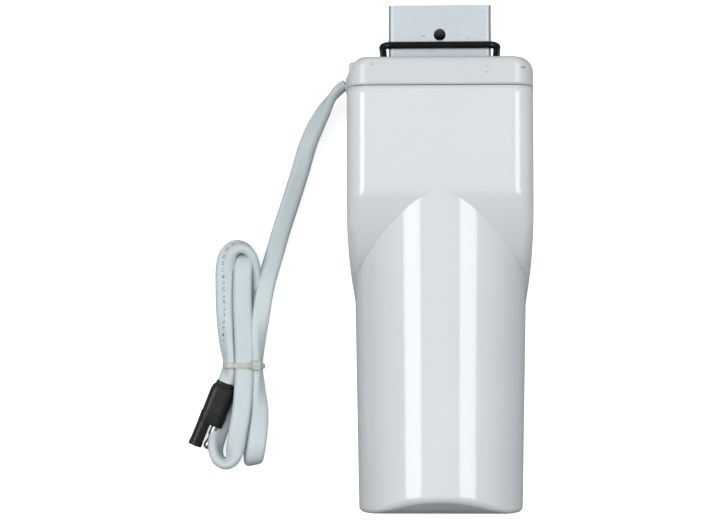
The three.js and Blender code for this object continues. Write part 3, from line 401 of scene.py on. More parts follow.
def solveAlongRays(inside, origin, directions, far=140.0):
    # distance from the origin at which inside() turns positive, for each direction
    near = np.zeros(directions.shape[:-1])
    outer = np.full(directions.shape[:-1], far)
    for _ in range(44):
        middle = (near + outer) / 2
        points = origin + directions * middle[..., None]
        out = inside(points) > 0
        outer = np.where(out, middle, outer)
        near = np.where(out, near, middle)
    return origin + directions * near[..., None]


def roundedMax(a, b, radius):
    both = (a > -radius) & (b > -radius)
    rounded = np.hypot(np.maximum(a + radius, 0), np.maximum(b + radius, 0)) - radius
    return np.where(both, rounded, np.maximum(a, b))


def joinSolids(name, first, second, operation):
    # a boolean of two closed meshes in metres, as a new mesh
    keep = bpy.data.objects.new("joined", first)
    tool = bpy.data.objects.new("tool", second)
    for holder in (keep, tool):
        bpy.context.scene.collection.objects.link(holder)
    cut = keep.modifiers.new("cut", "BOOLEAN")
    cut.operation = operation
    cut.solver = "EXACT"
    cut.object = tool
    made = bpy.data.meshes.new_from_object(keep.evaluated_get(bpy.context.evaluated_depsgraph_get()))
    made.name = name
    bpy.data.objects.remove(keep)
    bpy.data.objects.remove(tool)
    return made


# supply cable: lead, hank and twist into the plug
cable = {
    "width": 10.0,
    "thickness": 5.0,
    "around": 24,
    "spacing": 1.0,
    # x, y, z of the centreline and the direction of the cable's wide side
    "route": [
        (-50.6, 96.5, 16.0, 0, 0.05, 1), (-53.6, 94.6, 15.5, 0, 0.1, 1), (-58.0, 90.1, 13.4, 0.2, 0.1, 1),
        (-64.5, 80.3, 9.5, 0.75, -0.3, 0.7), (-71.2, 66.8, 5.6, 0.95, -0.3, 0.25),
        (-76.0, 51.5, 3.4, 1, -0.3, 0), (-80.9, 35.8, 2.9, 1, -0.32, 0), (-85.8, 20.6, 3.6, 1, -0.3, 0),
        (-90.5, 3.1, 6.8, 1, -0.25, 0), (-93.8, -10.0, 11.2, 1, -0.2, -0.05), (-96.2, -24.6, 13.4, 1, -0.1, -0.25),
        (-97.9, -40.0, 12.6, 0.6, 0, -0.8), (-98.6, -54.7, 10.0, 0.12, 0, -1),
        # right strand down to its end loop, which turns under
        (-98.1, -66.0, 10.6, 0.45, 0, -0.9), (-97.2, -80.0, 13.4, 0.9, 0, -0.4), (-97.6, -91.0, 16.3, 1, 0.02, -0.12),
        (-98.6, -98.8, 16.6, 1, 0.1, 0), (-99.6, -103.5, 14.6, 1, 0.15, 0), (-100.6, -105.4, 9.9, 1, 0.2, 0),
        (-101.4, -103.5, 5.2, 1, 0.2, 0), (-102.2, -98.8, 3.2, 1, 0.12, 0),
        (-104.2, -82.0, 3.4, 1, 0.1, 0), (-105.2, -66.0, 4.1, 1, 0, 0),
        (-105.2, -54.7, 4.3, 1, 0, 0), (-105.4, -40.0, 3.8, 1, 0, 0), (-106.0, -22.0, 3.3, 1, 0, 0),
        # inner loop, which turns over
        (-105.8, -10.0, 3.2, 1, 0, 0), (-105.4, -3.2, 3.3, 1, -0.02, 0), (-105.2, 1.5, 5.3, 1, -0.05, 0),
        (-105.2, 3.5, 10.0, 1, -0.1, 0.05), (-105.6, 1.5, 14.7, 1, -0.1, 0.1), (-105.9, -3.2, 16.7, 1, -0.05, 0.1),
        (-106.2, -11.0, 16.7, 1, 0, 0.05), (-106.2, -24.0, 16.2, 1, 0, 0),
        (-105.6, -40.0, 14.9, 1, 0, 0), (-105.3, -54.7, 14.1, 1, 0, 0), (-105.6, -66.0, 15.2, 1, 0, 0),
        # middle strand down to the left end loop
        (-106.6, -80.0, 17.6, 1, 0.05, 0), (-108.7, -92.0, 18.3, 1, 0, 0.05), (-109.9, -99.2, 17.5, 0.95, 0, 0.26),
        (-111.5, -104.0, 15.9, 0.55, -0.5, 0.67), (-114.8, -106.7, 13.8, 0, -0.26, 0.96),
        (-119.0, -105.0, 11.2, -0.2, -0.2, 0.94), (-121.0, -100.0, 9.2, -0.5, 0, 0.87),
        (-119.9, -91.0, 6.8, -0.87, 0, 0.5), (-114.0, -76.0, 5.6, -1, 0, 0.15),
        (-107.6, -64.0, 8.4, -1, 0, 0.05), (-105.2, -54.7, 9.2, -1, 0, 0), (-102.8, -43.0, 9.0, -1, 0, -0.3),
        # outer loop on its edge, and the left strand
        (-100.4, -28.0, 8.2, -0.5, 0, -0.9), (-99.4, -12.0, 8.8, -0.1, 0, -1), (-99.7, -2.0, 11.2, 0, 0, -1),
        (-101.6, 5.0, 13.6, -0.1, 0.15, -1), (-105.6, 8.8, 15.5, -0.2, 0.4, -0.85),
        (-110.2, 8.8, 16.5, -0.45, 0.55, -0.7), (-114.2, 5.2, 16.5, -0.7, 0.4, -0.5),
        (-115.8, -1.2, 15.6, -0.95, 0.1, -0.25), (-116.0, -11.0, 14.2, -1, 0.05, -0.08),
        (-115.8, -24.0, 12.8, -1, 0, -0.12), (-115.2, -40.0, 11.0, -0.75, 0, -0.6),
        (-113.7, -54.7, 10.0, -0.5, 0, -0.85), (-115.4, -64.2, 10.2, -0.9, 0.35, -0.2),
    ],
}


def between(t, start, end, first, second):
    return ((end - t) * first + (t - start) * second) / (end - start)


def smoothRoute(points, spacing):
    # a centripetal Catmull-Rom curve through the points, at even spacing
    points = np.array(points, float)
    points = np.vstack([2 * points[0] - points[1], points, 2 * points[-1] - points[-2]])
    fine = []
    for i in range(1, len(points) - 2):
        four = points[i - 1:i + 3]
        knots = [0.0]
        for a, b in zip(four, four[1:]):
            knots.append(knots[-1] + np.linalg.norm((b - a)[:3]) ** 0.5)
        for t in np.linspace(knots[1], knots[2], 24, endpoint=False):
            level = [between(t, knots[k], knots[k + 1], four[k], four[k + 1]) for k in range(3)]
            level = [between(t, knots[k], knots[k + 2], level[k], level[k + 1]) for k in range(2)]
            fine.append(between(t, knots[1], knots[2], *level))
    fine = np.array(fine + [points[-2]])
    along = np.concatenate([[0], np.cumsum(np.linalg.norm(np.diff(fine[:, :3], axis=0), axis=1))])
    at = np.linspace(0, along[-1], round(along[-1] / spacing) + 1)
    return np.stack([np.interp(at, along, fine[:, k]) for k in range(fine.shape[1])], axis=1), along[-1]


def flatSection(width, thickness, count):
    # points round a flat oval with round ends, the wide side along the first axis
    radius = thickness / 2
    straight = width - thickness
    perimeter = 2 * straight + 2 * math.pi * radius
    points = []
    for i in range(count):
        s = i / count * perimeter
        if s < straight:
            points.append((straight / 2 - s, radius))
        elif s < straight + math.pi * radius:
            a = math.pi / 2 + (s - straight) / radius
            points.append((-straight / 2 + radius * math.cos(a), radius * math.sin(a)))
        elif s < 2 * straight + math.pi * radius:
            points.append((-straight / 2 + (s - straight - math.pi * radius), -radius))
        else:
            a = -math.pi / 2 + (s - 2 * straight - math.pi * radius) / radius
            points.append((straight / 2 + radius * math.cos(a), radius * math.sin(a)))
    return points


def makeCable(settings):
    line, length = smoothRoute(settings["route"], settings["spacing"])
    centres = line[:, :3]
    tangents = np.gradient(centres, axis=0)
    tangents /= np.linalg.norm(tangents, axis=1)[:, None]
    wide = line[:, 3:] - (line[:, 3:] * tangents).sum(1)[:, None] * tangents
    wide /= np.linalg.norm(wide, axis=1)[:, None]
    thin = np.cross(tangents, wide)
    section = flatSection(settings["width"], settings["thickness"], settings["around"])
    around, rings = settings["around"], len(centres) - 1
    bm, byPlace = sheetGrid(around, rings)
    uv = bm.loops.layers.uv.new("along")
    for (i, j), vert in byPlace.items():
        across, up = section[i % around]
        vert.co = centres[j] + wide[j] * across + thin[j] * up
    placeOf = {vert: key for key, vert in byPlace.items()}
    for face in bm.faces:
        for loop in face.loops:
            i, j = placeOf[loop.vert]
            loop[uv].uv = (j / rings, i / around)
    for j in (0, rings):
        bm.faces.new([byPlace[(i, j)] for i in range(around)])
    mesh = meshFrom(bm, "supplyCable", 50, weld=0.001)
    print("cable length", round(length, 1), "mm")
    return mesh, centres, length


cableMesh, cableCentres, cableLength = makeCable(cable)
supplyCable = finishPiece("supplyCable", cableMesh, jacketVinyl, ["cable_lead", "cable_hank"])


# plug with one shrouded and one bare pole
plug = {
    "origin": (-124.3, -86.0, 8.4),
    "turn": (0.08, 0.0, -0.397),
    "pole": 3.3,
    "radius": 3.6,
    "shroudLength": 13.5,
    "neckEnd": 24.0,
}
turnPlug = (Matrix.Translation(Vector(plug["origin"])) @ Matrix.Rotation(plug["turn"][2], 4, "Z")
            @ Matrix.Rotation(plug["turn"][0], 4, "X"))


def turnedAlongY(bm, profile, x=0.0, steps=32):
    # a profile of (radius, y) spun round an axis along Y at that x
    verts = [bm.verts.new((x + radius, y, 0)) for radius, y in profile]
    edges = [bm.edges.new(pair) for pair in zip(verts, verts[1:])]
    bmesh.ops.spin(bm, geom=verts + edges, cent=(x, 0, 0), axis=(0, 1, 0), dvec=(0, 0, 0),
                   angle=2 * math.pi, steps=steps, use_merge=True, use_duplicate=False)
    bmesh.ops.remove_doubles(bm, verts=bm.verts, dist=0.002)


def ovalRing(bm, y, halfWidth, halfHeight, count=40):
    # one ring of a two-barrel body: a flat oval in the XZ plane
    verts = []
    for across, up in flatSection(2 * halfWidth, 2 * halfHeight, count):
        verts.append(bm.verts.new((across, y, up)))
    return verts, [bm.edges.new((verts[i], verts[(i + 1) % count])) for i in range(count)]


def loftRings(bm, rings):
    made = [ovalRing(bm, *ring) for ring in rings]
    for (_, first), (_, second) in zip(made, made[1:]):
        bmesh.ops.bridge_loops(bm, edges=first + second)
    bm.faces.new(made[0][0])
    bm.faces.new(made[-1][0])


def makePlug(settings):
    half = settings["pole"] + settings["radius"]
    r = settings["radius"]
    body = bmesh.new()
    loftRings(body, [
        (0.0, half - 0.5, r - 0.5), (0.15, half - 0.15, r - 0.15), (0.6, half, r), (6.0, half + 0.1, r + 0.05),
        (6.3, half - 0.15, r - 0.2), (14.0, half, r), (18.6, half, r), (20.6, half - 0.3, r - 0.15),
        (21.7, half - 0.9, r - 0.5), (22.2, half - 1.35, r - 0.75), (settings["neckEnd"] - 0.3, 5.55, 3.0),
        (settings["neckEnd"], 5.3, 2.8),
    ])
    bodyMesh = meshFrom(body, "plugBody", 28)
    shroud = bmesh.new()
    end = -settings["shroudLength"]
    turnedAlongY(shroud, [(2.75, -2.0), (2.75, end + 0.3), (2.95, end), (3.5, end), (3.7, end + 0.2),
                          (3.7, end + 2.4), (3.5, end + 2.7), (3.5, -0.2), (3.4, 1.2), (2.75, 1.2),
                          (2.75, -2.0)], -settings["pole"], 40)
    shroudMesh = meshFrom(shroud, "plugShroud", 28)
    bore = bmesh.new()
    turnedAlongY(bore, [(0, -1.0), (2.75, -1.0), (2.75, 4.0), (0, 4.0)], -settings["pole"], 40)
    boreMesh = meshFrom(bore, "plugBore")
    bodyMesh = joinSolids("plugBody", bodyMesh, boreMesh, "DIFFERENCE")
    joined = bmesh.new()
    joined.from_mesh(bodyMesh)
    joined.from_mesh(shroudMesh)
    joined.transform(Matrix.Scale(1000, 4))
    joined.transform(turnPlug)
    return meshFrom(joined, "plugBody", 28, weld=0.0005)


def turnedPlugPiece(name, profile, x, steps=32):
    bm = bmesh.new()
    turnedAlongY(bm, profile, x, steps)
    bm.transform(turnPlug)
    return meshFrom(bm, name, 35)


plugBody = finishPiece("plugBody", makePlug(plug), plugVinyl, ["plug_body"])
plugPin = finishPiece("plugPin", turnedPlugPiece("plugPin", [
    (0, -12.9), (1.0, -12.85), (1.7, -12.4), (2.2, -11.5), (2.3, -10.4), (2.15, -9.2), (1.75, -8.3), (1.65, -7.0),
    (1.75, -5.7), (2.15, -4.9), (2.25, -4.0), (2.2, -2.6), (2.2, 0.6), (0, 0.6)], plug["pole"]),
    brightNickel, ["plug_pin"])
plugSocket = finishPiece("plugSocket", turnedPlugPiece("plugSocket", [
    (1.3, -10.8), (1.55, -11.0), (2.3, -11.0), (2.4, -10.8), (2.4, 3.6), (1.3, 3.6), (1.3, -10.8)],
    -plug["pole"]), brightNickel, ["plug_socket"])
print("plug made")


# nylon tie round the hank
tie = {
    "centre": (-106.0, -54.7, 9.2),
    "inner": (20.2, 15.0),
    "corner": 4.6,
    "band": 1.1,
    "length": 2.6,
    "head": (5.0, 5.2, 4.2),
    "headX": 7.8,
    "headTaper": 0.86,
    "headRound": 0.55,
    "tail": (1.2, 0.9),
    "tailX": 10.5,
}


def roundedFrame(sizeX, sizeZ, radius, steps=10):
    # points and outward directions round a rounded rectangle about the origin
    points = []
    for cx, cz, start in ((1, 1, 0), (-1, 1, 90), (-1, -1, 180), (1, -1, 270)):
        for k in range(steps + 1):
            a = math.radians(start + 90 * k / steps)
            points.append((cx * (sizeX / 2 - radius) + radius * math.cos(a),
                           cz * (sizeZ / 2 - radius) + radius * math.sin(a), math.cos(a), math.sin(a)))
    return points


def makeTie(settings):
    bm = bmesh.new()
    outline = roundedFrame(*settings["inner"], settings["corner"])
    halfLength = settings["length"] / 2
    strap = [(0.0, -halfLength), (settings["band"] - 0.2, -halfLength), (settings["band"], -halfLength + 0.25),
             (settings["band"], halfLength - 0.25), (settings["band"] - 0.2, halfLength), (0.0, halfLength)]
    rings = []
    for x, z, nx, nz in outline:
        ring = [bm.verts.new((x + nx * out, y, z + nz * out)) for out, y in strap]
        rings.append([bm.edges.new((ring[i], ring[(i + 1) % len(ring)])) for i in range(len(ring))])
    for first, second in zip(rings, rings[1:] + rings[:1]):
        bmesh.ops.bridge_loops(bm, edges=first + second)
    top = settings["inner"][1] / 2
    width, depth, tall = settings["head"]
    head = bmesh.ops.create_cube(bm, size=1.0)["verts"]
    bmesh.ops.scale(bm, vec=(width, depth, tall), verts=head)
    for vert in head:
        if vert.co.z > 0:
            vert.co.x *= settings["headTaper"]
            vert.co.y *= settings["headTaper"]
    bmesh.ops.translate(bm, vec=(settings["headX"], 0, top + tall / 2 - 0.1), verts=head)
    headEdges = list({edge for vert in head for edge in vert.link_edges})
    bmesh.ops.bevel(bm, geom=headEdges, offset=settings["headRound"], offset_type="OFFSET", segments=3,
                    profile=0.5, affect="EDGES", material=-1)
    # the cut end of the strap, which stands out of the head
    tail = bmesh.ops.create_cube(bm, size=1.0)["verts"]
    tailWidth, tailDepth = settings["tail"]
    bmesh.ops.scale(bm, vec=(tailWidth, settings["length"], tailDepth), verts=tail)
    bmesh.ops.translate(bm, vec=(settings["tailX"], 0, top + tailDepth), verts=tail)
    bmesh.ops.translate(bm, vec=settings["centre"], verts=bm.verts)
    return meshFrom(bm, "cableTie", 35)


cableTie = finishPiece("cableTie", makeTie(tie), tieNylon, ["cable_tie"])
print("tie made")


# gland moulded from the cable's own PVC, where it leaves the casting
gland = {
    "centre": (-47.4, 95.3, 16.0),
    "half": (3.5, 6.0),
    "rings": [(-3.1, 0.2, 0.6), (-2.7, 0.85, 0.9), (-1.9, 1.1, 1.1), (-1.2, 1.1, 1.1), (-0.95, 0.9, 1.0),
              (-0.95, 0.0, 0.0), (3.7, 0.0, 0.0), (3.7, 1.0, 1.0), (5.0, 1.0, 1.0), (5.3, 0.5, 0.5)],
}


def makeGland(settings):
    bm = bmesh.new()
    loops = []
    for along, growY, growZ in settings["rings"]:
        outline = roundedFrame(2 * (settings["half"][0] + growY), 2 * (settings["half"][1] + growZ),
                               settings["half"][0] + min(growY, 0) - 0.2, 6)
        verts = [bm.verts.new((along, a, b)) for a, b, _, _ in outline]
        count = len(verts)
        loops.append((verts, [bm.edges.new((verts[i], verts[(i + 1) % count])) for i in range(count)]))
    for (_, first), (_, second) in zip(loops, loops[1:]):
        bmesh.ops.bridge_loops(bm, edges=first + second)
    bm.faces.new(loops[0][0])
    bm.faces.new(loops[-1][0])
    bmesh.ops.translate(bm, vec=settings["centre"], verts=bm.verts)
    return meshFrom(bm, "cableGland", 35)


cableGland = finishPiece("cableGland", makeGland(gland), jacketVinyl, ["cable_gland"])
print("cable laid")


# front cover: a wide box part with a falling nose, joined to a half-round body
cover = {
    "side": 48.0,
    "top": 78.0,
    "bottom": 3.3,
    "seam": 87.5,
    "corner": 12.0,
    "noseCorner": 6.5,
    "cornerFade": 0.22,  # share of the nose over which the corner narrows
    "noseCentre": (61.57, -1.0),
    "noseRadius": 84.07,
    "noseTip": -22.5,
    "bendRadius": 13.0,
    "taper": 2.3,
    "taperLength": 42.5,
    "lowerEnd": -131.4,
    "tubeRadius": (44.8, 42.7),
    "tubeTop": 45.0,
    "guideRadius": 43.8,  # only aims the rays that find the half-round skin
    "facet": (7.3, 15.2),
    "facetRound": 2.5,
    "endRound": 3.0,
    "wall": 2.5,
    "creaseAngle": 12.5,
}


def coverSide(y):
    t = np.clip((y - cover["noseTip"]) / cover["taperLength"], 0, 1)
    return cover["side"] - cover["taper"] * (1 - t) ** 2


def noseProfile():
    # points down the front's middle line with their outward directions and corner radii
    cy, cz = cover["noseCentre"]
    big, bend, top = cover["noseRadius"], cover["bendRadius"], cover["top"]
    bendY = cy - math.sqrt((big - bend) ** 2 - (top - bend - cz) ** 2)
    bendEnd = math.atan2(top - bend - cz, bendY - cy)
    last = math.pi - math.asin((cover["bottom"] + 0.6 - cz) / big)
    rows = []
    for y in np.linspace(cover["seam"], bendY, 15):
        rows.append((y, top, 0.0, 1.0))
    for a in np.linspace(math.pi / 2, bendEnd, 12)[1:]:
        rows.append((bendY + bend * math.cos(a), top - bend + bend * math.sin(a), math.cos(a), math.sin(a)))
    for a in np.linspace(bendEnd, last, 90)[1:]:
        rows.append((cy + big * math.cos(a), cz + big * math.sin(a), math.cos(a), math.sin(a)))
    return rows, bendY


def makeBoxBody():
    rows, bendY = noseProfile()
    wallSteps, cornerSteps, topSteps = 10, 14, 24
    columns = 2 * (wallSteps + cornerSteps) + topSteps
    bm, byPlace = sheetGrid(columns, len(rows) - 1)
    steps = [math.hypot(b[0] - a[0], b[1] - a[1]) for a, b in zip(rows, rows[1:])]
    run = np.concatenate([[0], np.cumsum(steps)])
    flat = rows[0][0] - bendY
    tipY = rows[-1][0]
    for j, (y, z, ny, nz) in enumerate(rows):
        if run[j] <= flat + 1e-6:
            footY, share = y, 0.0
        else:
            share = (run[j] - flat) / (run[-1] - flat)
            footY = bendY + (tipY - bendY) * share
        narrowing = min(1.0, share / cover["cornerFade"])
        radius = cover["corner"] + (cover["noseCorner"] - cover["corner"]) * narrowing
        radius = min(radius, 0.45 * (z - cover["bottom"]) + 0.05)
        cornerY, cornerZ = y - ny * radius, z - nz * radius
        for i in range(columns + 1):
            k = min(i, columns - i)
            right = 1 if i <= columns / 2 else -1
            if k <= wallSteps:
                w = k / wallSteps
                py = footY + (cornerY - footY) * w
                pz = cover["bottom"] + (cornerZ - cover["bottom"]) * w
                px = coverSide(py)
            elif k <= wallSteps + cornerSteps:
                a = math.pi / 2 * (1 - (k - wallSteps) / cornerSteps)
                lift = radius * math.cos(a)
                py, pz = cornerY + ny * lift, cornerZ + nz * lift
                px = coverSide(py) - radius + radius * math.sin(a)
            else:
                w = 1 - 2 * (k - wallSteps - cornerSteps) / topSteps
                py, pz = y, z
                px = (coverSide(py) - radius) * w
            byPlace[(i, j)].co = (right * px, py, pz)
    last = len(rows) - 1
    bm.faces.new([byPlace[(i, 0)] for i in range(columns + 1)])
    bm.faces.new([byPlace[(i, last)] for i in range(columns + 1)])
    bm.faces.new([byPlace[(0, j)] for j in range(last + 1)]
                 + [byPlace[(columns, j)] for j in range(last, -1, -1)])
    return meshFrom(bm, "boxBody", weld=0.0002)


def tubeInside(points):
    x, y, z = points[..., 0], points[..., 1], points[..., 2]
    upper, lower = cover["tubeRadius"]
    radius = upper + (lower - upper) * (cover["noseTip"] - y) / (cover["noseTip"] - cover["lowerEnd"])
    top = cover["top"] - 0.04
    centre = top - radius
    barrel = np.where(z > centre, np.hypot(x, z - centre), np.abs(x)) - radius
    run, drop = cover["facet"]
    slope = math.hypot(run, drop)
    facet = (-drop * (y - cover["lowerEnd"]) + run * (z - cover["top"] + drop)) / slope
    end = cover["lowerEnd"] - y
    return roundedMax(roundedMax(barrel, facet, cover["facetRound"]), end, cover["endRound"])


def makeTubeBody():
    end, r = cover["lowerEnd"], cover["endRound"]
    rows = list(np.linspace(cover["tubeTop"], end + 15.0, 56))
    rows += list(np.linspace(end + 15.0, end + r, 30)[1:])
    rows += [end + r * (1 - math.sin(a)) for a in np.linspace(0, math.pi / 2, 11)[1:]]
    columns = 156
    outline = []
    radius = cover["guideRadius"]
    centre = cover["top"] - radius
    straight = centre - cover["bottom"]
    total = 2 * straight + math.pi * radius
    for i in range(columns + 1):
        s = i / columns * total
        if s < straight:
            outline.append((radius, s))
        elif s < total - straight:
            a = (s - straight) / radius
            outline.append((radius * math.cos(a), straight + radius * math.sin(a)))
        else:
            outline.append((-radius, total - s))
    directions = np.zeros((len(rows), columns + 1, 3))
    origin = np.zeros((len(rows), columns + 1, 3))
    for i, (x, z) in enumerate(outline):
        far = math.hypot(x, z)
        directions[:, i, 0], directions[:, i, 2] = x / far, z / far
    origin[..., 1] = np.array(rows)[:, None]
    origin[..., 2] = cover["bottom"]
    skin = solveAlongRays(tubeInside, origin, directions)
    bm, byPlace = sheetGrid(columns, len(rows) - 1)
    for (i, j), vert in byPlace.items():
        vert.co = skin[j, i]
    last = len(rows) - 1
    bm.faces.new([byPlace[(i, 0)] for i in range(columns + 1)])
    bm.faces.new([byPlace[(i, last)] for i in range(columns + 1)])
    bm.faces.new([byPlace[(0, j)] for j in range(last + 1)]
                 + [byPlace[(columns, j)] for j in range(last, -1, -1)])
    return meshFrom(bm, "tubeBody", weld=0.0002)


def openShell(mesh, name, isOpen, sharpAngle):
    # removes the faces that isOpen() picks by their centre in millimetres, and marks the creases
    bm = bmesh.new()
    bm.from_mesh(mesh)
    bmesh.ops.remove_doubles(bm, verts=bm.verts, dist=0.01 * mm)
    gone = [face for face in bm.faces if isOpen(face.calc_center_median() / mm, face.normal)]
    bmesh.ops.delete(bm, geom=gone, context="FACES")
    loose = [vert for vert in bm.verts if not vert.link_faces]
    bmesh.ops.delete(bm, geom=loose, context="VERTS")
    made = bpy.data.meshes.new(name)
    bm.to_mesh(made)
    bm.free()
    made.polygons.foreach_set("use_smooth", [True] * len(made.polygons))
    made.set_sharp_from_angle(angle=math.radians(sharpAngle))
    return made


def addWall(piece, thickness):
    wall = piece.modifiers.new("wall", "SOLIDIFY")
    wall.thickness = thickness * mm
    wall.offset = -1


def makeFrontCover():
    whole = joinSolids("frontCover", makeBoxBody(), makeTubeBody(), "UNION")
    return openShell(whole, "frontCover", lambda c, n: c.z < cover["bottom"] + 0.02 and n.z < -0.9
                     or c.y > cover["seam"] - 0.02 and n.y > 0.9, cover["creaseAngle"])


frontCover = finishPiece("frontCover", makeFrontCover(), moulded, ["front_cover"])
addWall(frontCover, cover["wall"])
print("front cover made:", len(frontCover.data.polygons), "faces")


# end casting
casting = {
    "side": 48.0,
    "top": 78.0,
    "start": 88.05,
    "end": 102.7,
    "corner": 12.0,
    "wall": 4.0,
    "frontEdge": 3.6,
    "rightEdge": 7.2,
    "leftEdge": 9.8,
    "leftFlatness": 0.34,
    "spigotHole": (53.6, 40.6, 2.8),
    "spigotCentre": 42.0,
    "glandHole": (95.3, 16.0, 3.8, 6.3),
    "glandReach": (-47.5, 0.0, 5.0),  # lowest x, highest x and lowest z of the gland hole's walls
    "mouth": (26.9, 20.4, 101.0),  # half width, half depth and top of the spigot hole's walls
    "stub": (4.8, 7.8, 13.0),
    "stubCentre": (-44.3, 96.6, 66.0),
    "stubRound": 1.7,
    "creaseAngle": 22,
}


def castingOutline():
    # x, z, outward direction and end-edge radius round the casting, which is cut flat at the back later
    side, top, corner = casting["side"], casting["top"], casting["corner"]
    right, left, front = casting["rightEdge"], casting["leftEdge"], casting["frontEdge"]
    low = -2 * corner
    points = []
    for centreX, centreZ, start, first, second in (
            (side - corner, top - corner, 0, right, front), (corner - side, top - corner, 90, front, left),
            (corner - side, low + corner, 180, left, left), (side - corner, low + corner, 270, right, right)):
        for k in range(17):
            a = math.radians(start + 90 * k / 16)
            share = (k / 16) ** 2 * (3 - 2 * k / 16)
            points.append((centreX + corner * math.cos(a), centreZ + corner * math.sin(a),
                           math.cos(a), math.sin(a), first + (second - first) * share))
    outline = []
    for here, there in zip(points, points[1:] + points[:1]):
        pieces = max(1, round(math.hypot(there[0] - here[0], there[1] - here[1]) / 3.5))
        for k in range(pieces):
            outline.append(tuple(h + (t - h) * k / pieces for h, t in zip(here, there)))
    return outline


def makeCastingBody():
    outline = castingOutline()
    straightRows, edgeRows = 8, 12
    bm, byPlace = sheetGrid(len(outline), straightRows + edgeRows)
    for (i, j), vert in byPlace.items():
        x, z, nx, nz, edge = outline[i % len(outline)]
        if j <= straightRows:
            y = casting["start"] + (casting["end"] - edge - casting["start"]) * j / straightRows
            inset = 0.0
        else:
            a = math.pi / 2 * (j - straightRows) / edgeRows
            flatness = casting["leftFlatness"] if x < 0 and edge > casting["rightEdge"] else 0.0
            y = casting["end"] - edge + edge * ((1 - flatness) * math.sin(a) + flatness * 2 * a / math.pi)
            inset = edge * ((1 - flatness) * (1 - math.cos(a)) + flatness * 2 * a / math.pi)
        vert.co = (x - nx * inset, y, z - nz * inset)
    last = straightRows + edgeRows
    bmesh.ops.remove_doubles(bm, verts=bm.verts, dist=0.001)
    for y in (casting["start"], casting["end"]):
        rim = [edge for edge in bm.edges if edge.is_boundary and abs(edge.verts[0].co.y - y) < 0.01]
        bmesh.ops.edgeloop_fill(bm, edges=rim)
    cut = bmesh.ops.bisect_plane(bm, geom=bm.verts[:] + bm.edges[:] + bm.faces[:], dist=0.0005,
                                 plane_co=(0, 0, 0), plane_no=(0, 0, 1), clear_inner=True)["geom_cut"]
    bmesh.ops.edgeloop_fill(bm, edges=[part for part in cut if isinstance(part, bmesh.types.BMEdge)])
    return meshFrom(bm, "castingBody", weld=0.001)


def prismAlongY(name, sizeX, sizeZ, radius, centreX, centreZ, y0, y1, steps=8):
    bm = bmesh.new()
    outline = roundedFrame(sizeX, sizeZ, radius, steps)
    verts = [bm.verts.new((centreX + x, y0, centreZ + z)) for x, z, _, _ in outline]
    face = bm.faces.new(verts)
    made = bmesh.ops.extrude_face_region(bm, geom=[face])["geom"]
    bmesh.ops.translate(bm, vec=(0, y1 - y0, 0), verts=[v for v in made if isinstance(v, bmesh.types.BMVert)])
    return meshFrom(bm, name, weld=0.001)


def boxMesh(name, low, high):
    bm = bmesh.new()
    bmesh.ops.create_cube(bm, size=1.0)
    bmesh.ops.scale(bm, vec=[b - a for a, b in zip(low, high)], verts=bm.verts)
    bmesh.ops.translate(bm, vec=[(a + b) / 2 for a, b in zip(low, high)], verts=bm.verts)
    return meshFrom(bm, name)


def makeEndCasting():
    whole = makeCastingBody()
    # a small casting stub on the upper left edge
    stub = bmesh.new()
    bmesh.ops.create_cube(stub, size=1.0)
    bmesh.ops.scale(stub, vec=casting["stub"], verts=stub.verts)
    bmesh.ops.bevel(stub, geom=list(stub.edges), offset=casting["stubRound"], offset_type="OFFSET", segments=4,
                    profile=0.5, affect="EDGES", material=-1)
    bmesh.ops.translate(stub, vec=casting["stubCentre"], verts=stub.verts)
    whole = joinSolids("castingWithStub", whole, meshFrom(stub, "castingStub"), "UNION")
    width, depth, radius = casting["spigotHole"]
    hole = prismAlongY("spigotHole", width, depth, radius, 0, casting["spigotCentre"], 96.0, 106.0)
    whole = joinSolids("castingWithHole", whole, hole, "DIFFERENCE")
    y, z, halfY, halfZ = casting["glandHole"]
    notch = boxMesh("glandHole", (-60, y - halfY, z - halfZ), (-40, y + halfY, z + halfZ))
    whole = joinSolids("endCasting", whole, notch, "DIFFERENCE")
    mouthX, mouthZ, mouthTop = casting["mouth"]
    lowX, highX, lowZ = casting["glandReach"]

    def isOpen(c, n):
        back = c.y < casting["start"] + 0.02 and n.y < -0.9
        mouth = abs(c.x) < mouthX and abs(c.z - casting["spigotCentre"]) < mouthZ and c.y < mouthTop
        outlet = (lowX < c.x < highX and abs(c.y - y) < halfY + 0.1 and abs(c.z - z) < halfZ + 0.1
                  and c.z > lowZ)
        return back or mouth or outlet

    return openShell(whole, "endCasting", isOpen, casting["creaseAngle"])


endCasting = finishPiece("endCasting", makeEndCasting(), enamel, ["end_casting"])
addWall(endCasting, casting["wall"])
print("end casting made:", len(endCasting.data.polygons), "faces")


# mounting spigot
spigot = {
    "size": (53.0, 40.0, 2.5),
    "bore": (46.0, 33.0, 1.2),
    "flange": (68.0, 46.0, 3.0),
    "centre": 42.0,
    "from": 94.4,
    "flangeTop": 97.4,
    "top": 131.4,
    "holeFromTop": 15.5,
    "holeRadius": 3.1,
    "brokenEdge": 0.7,
}


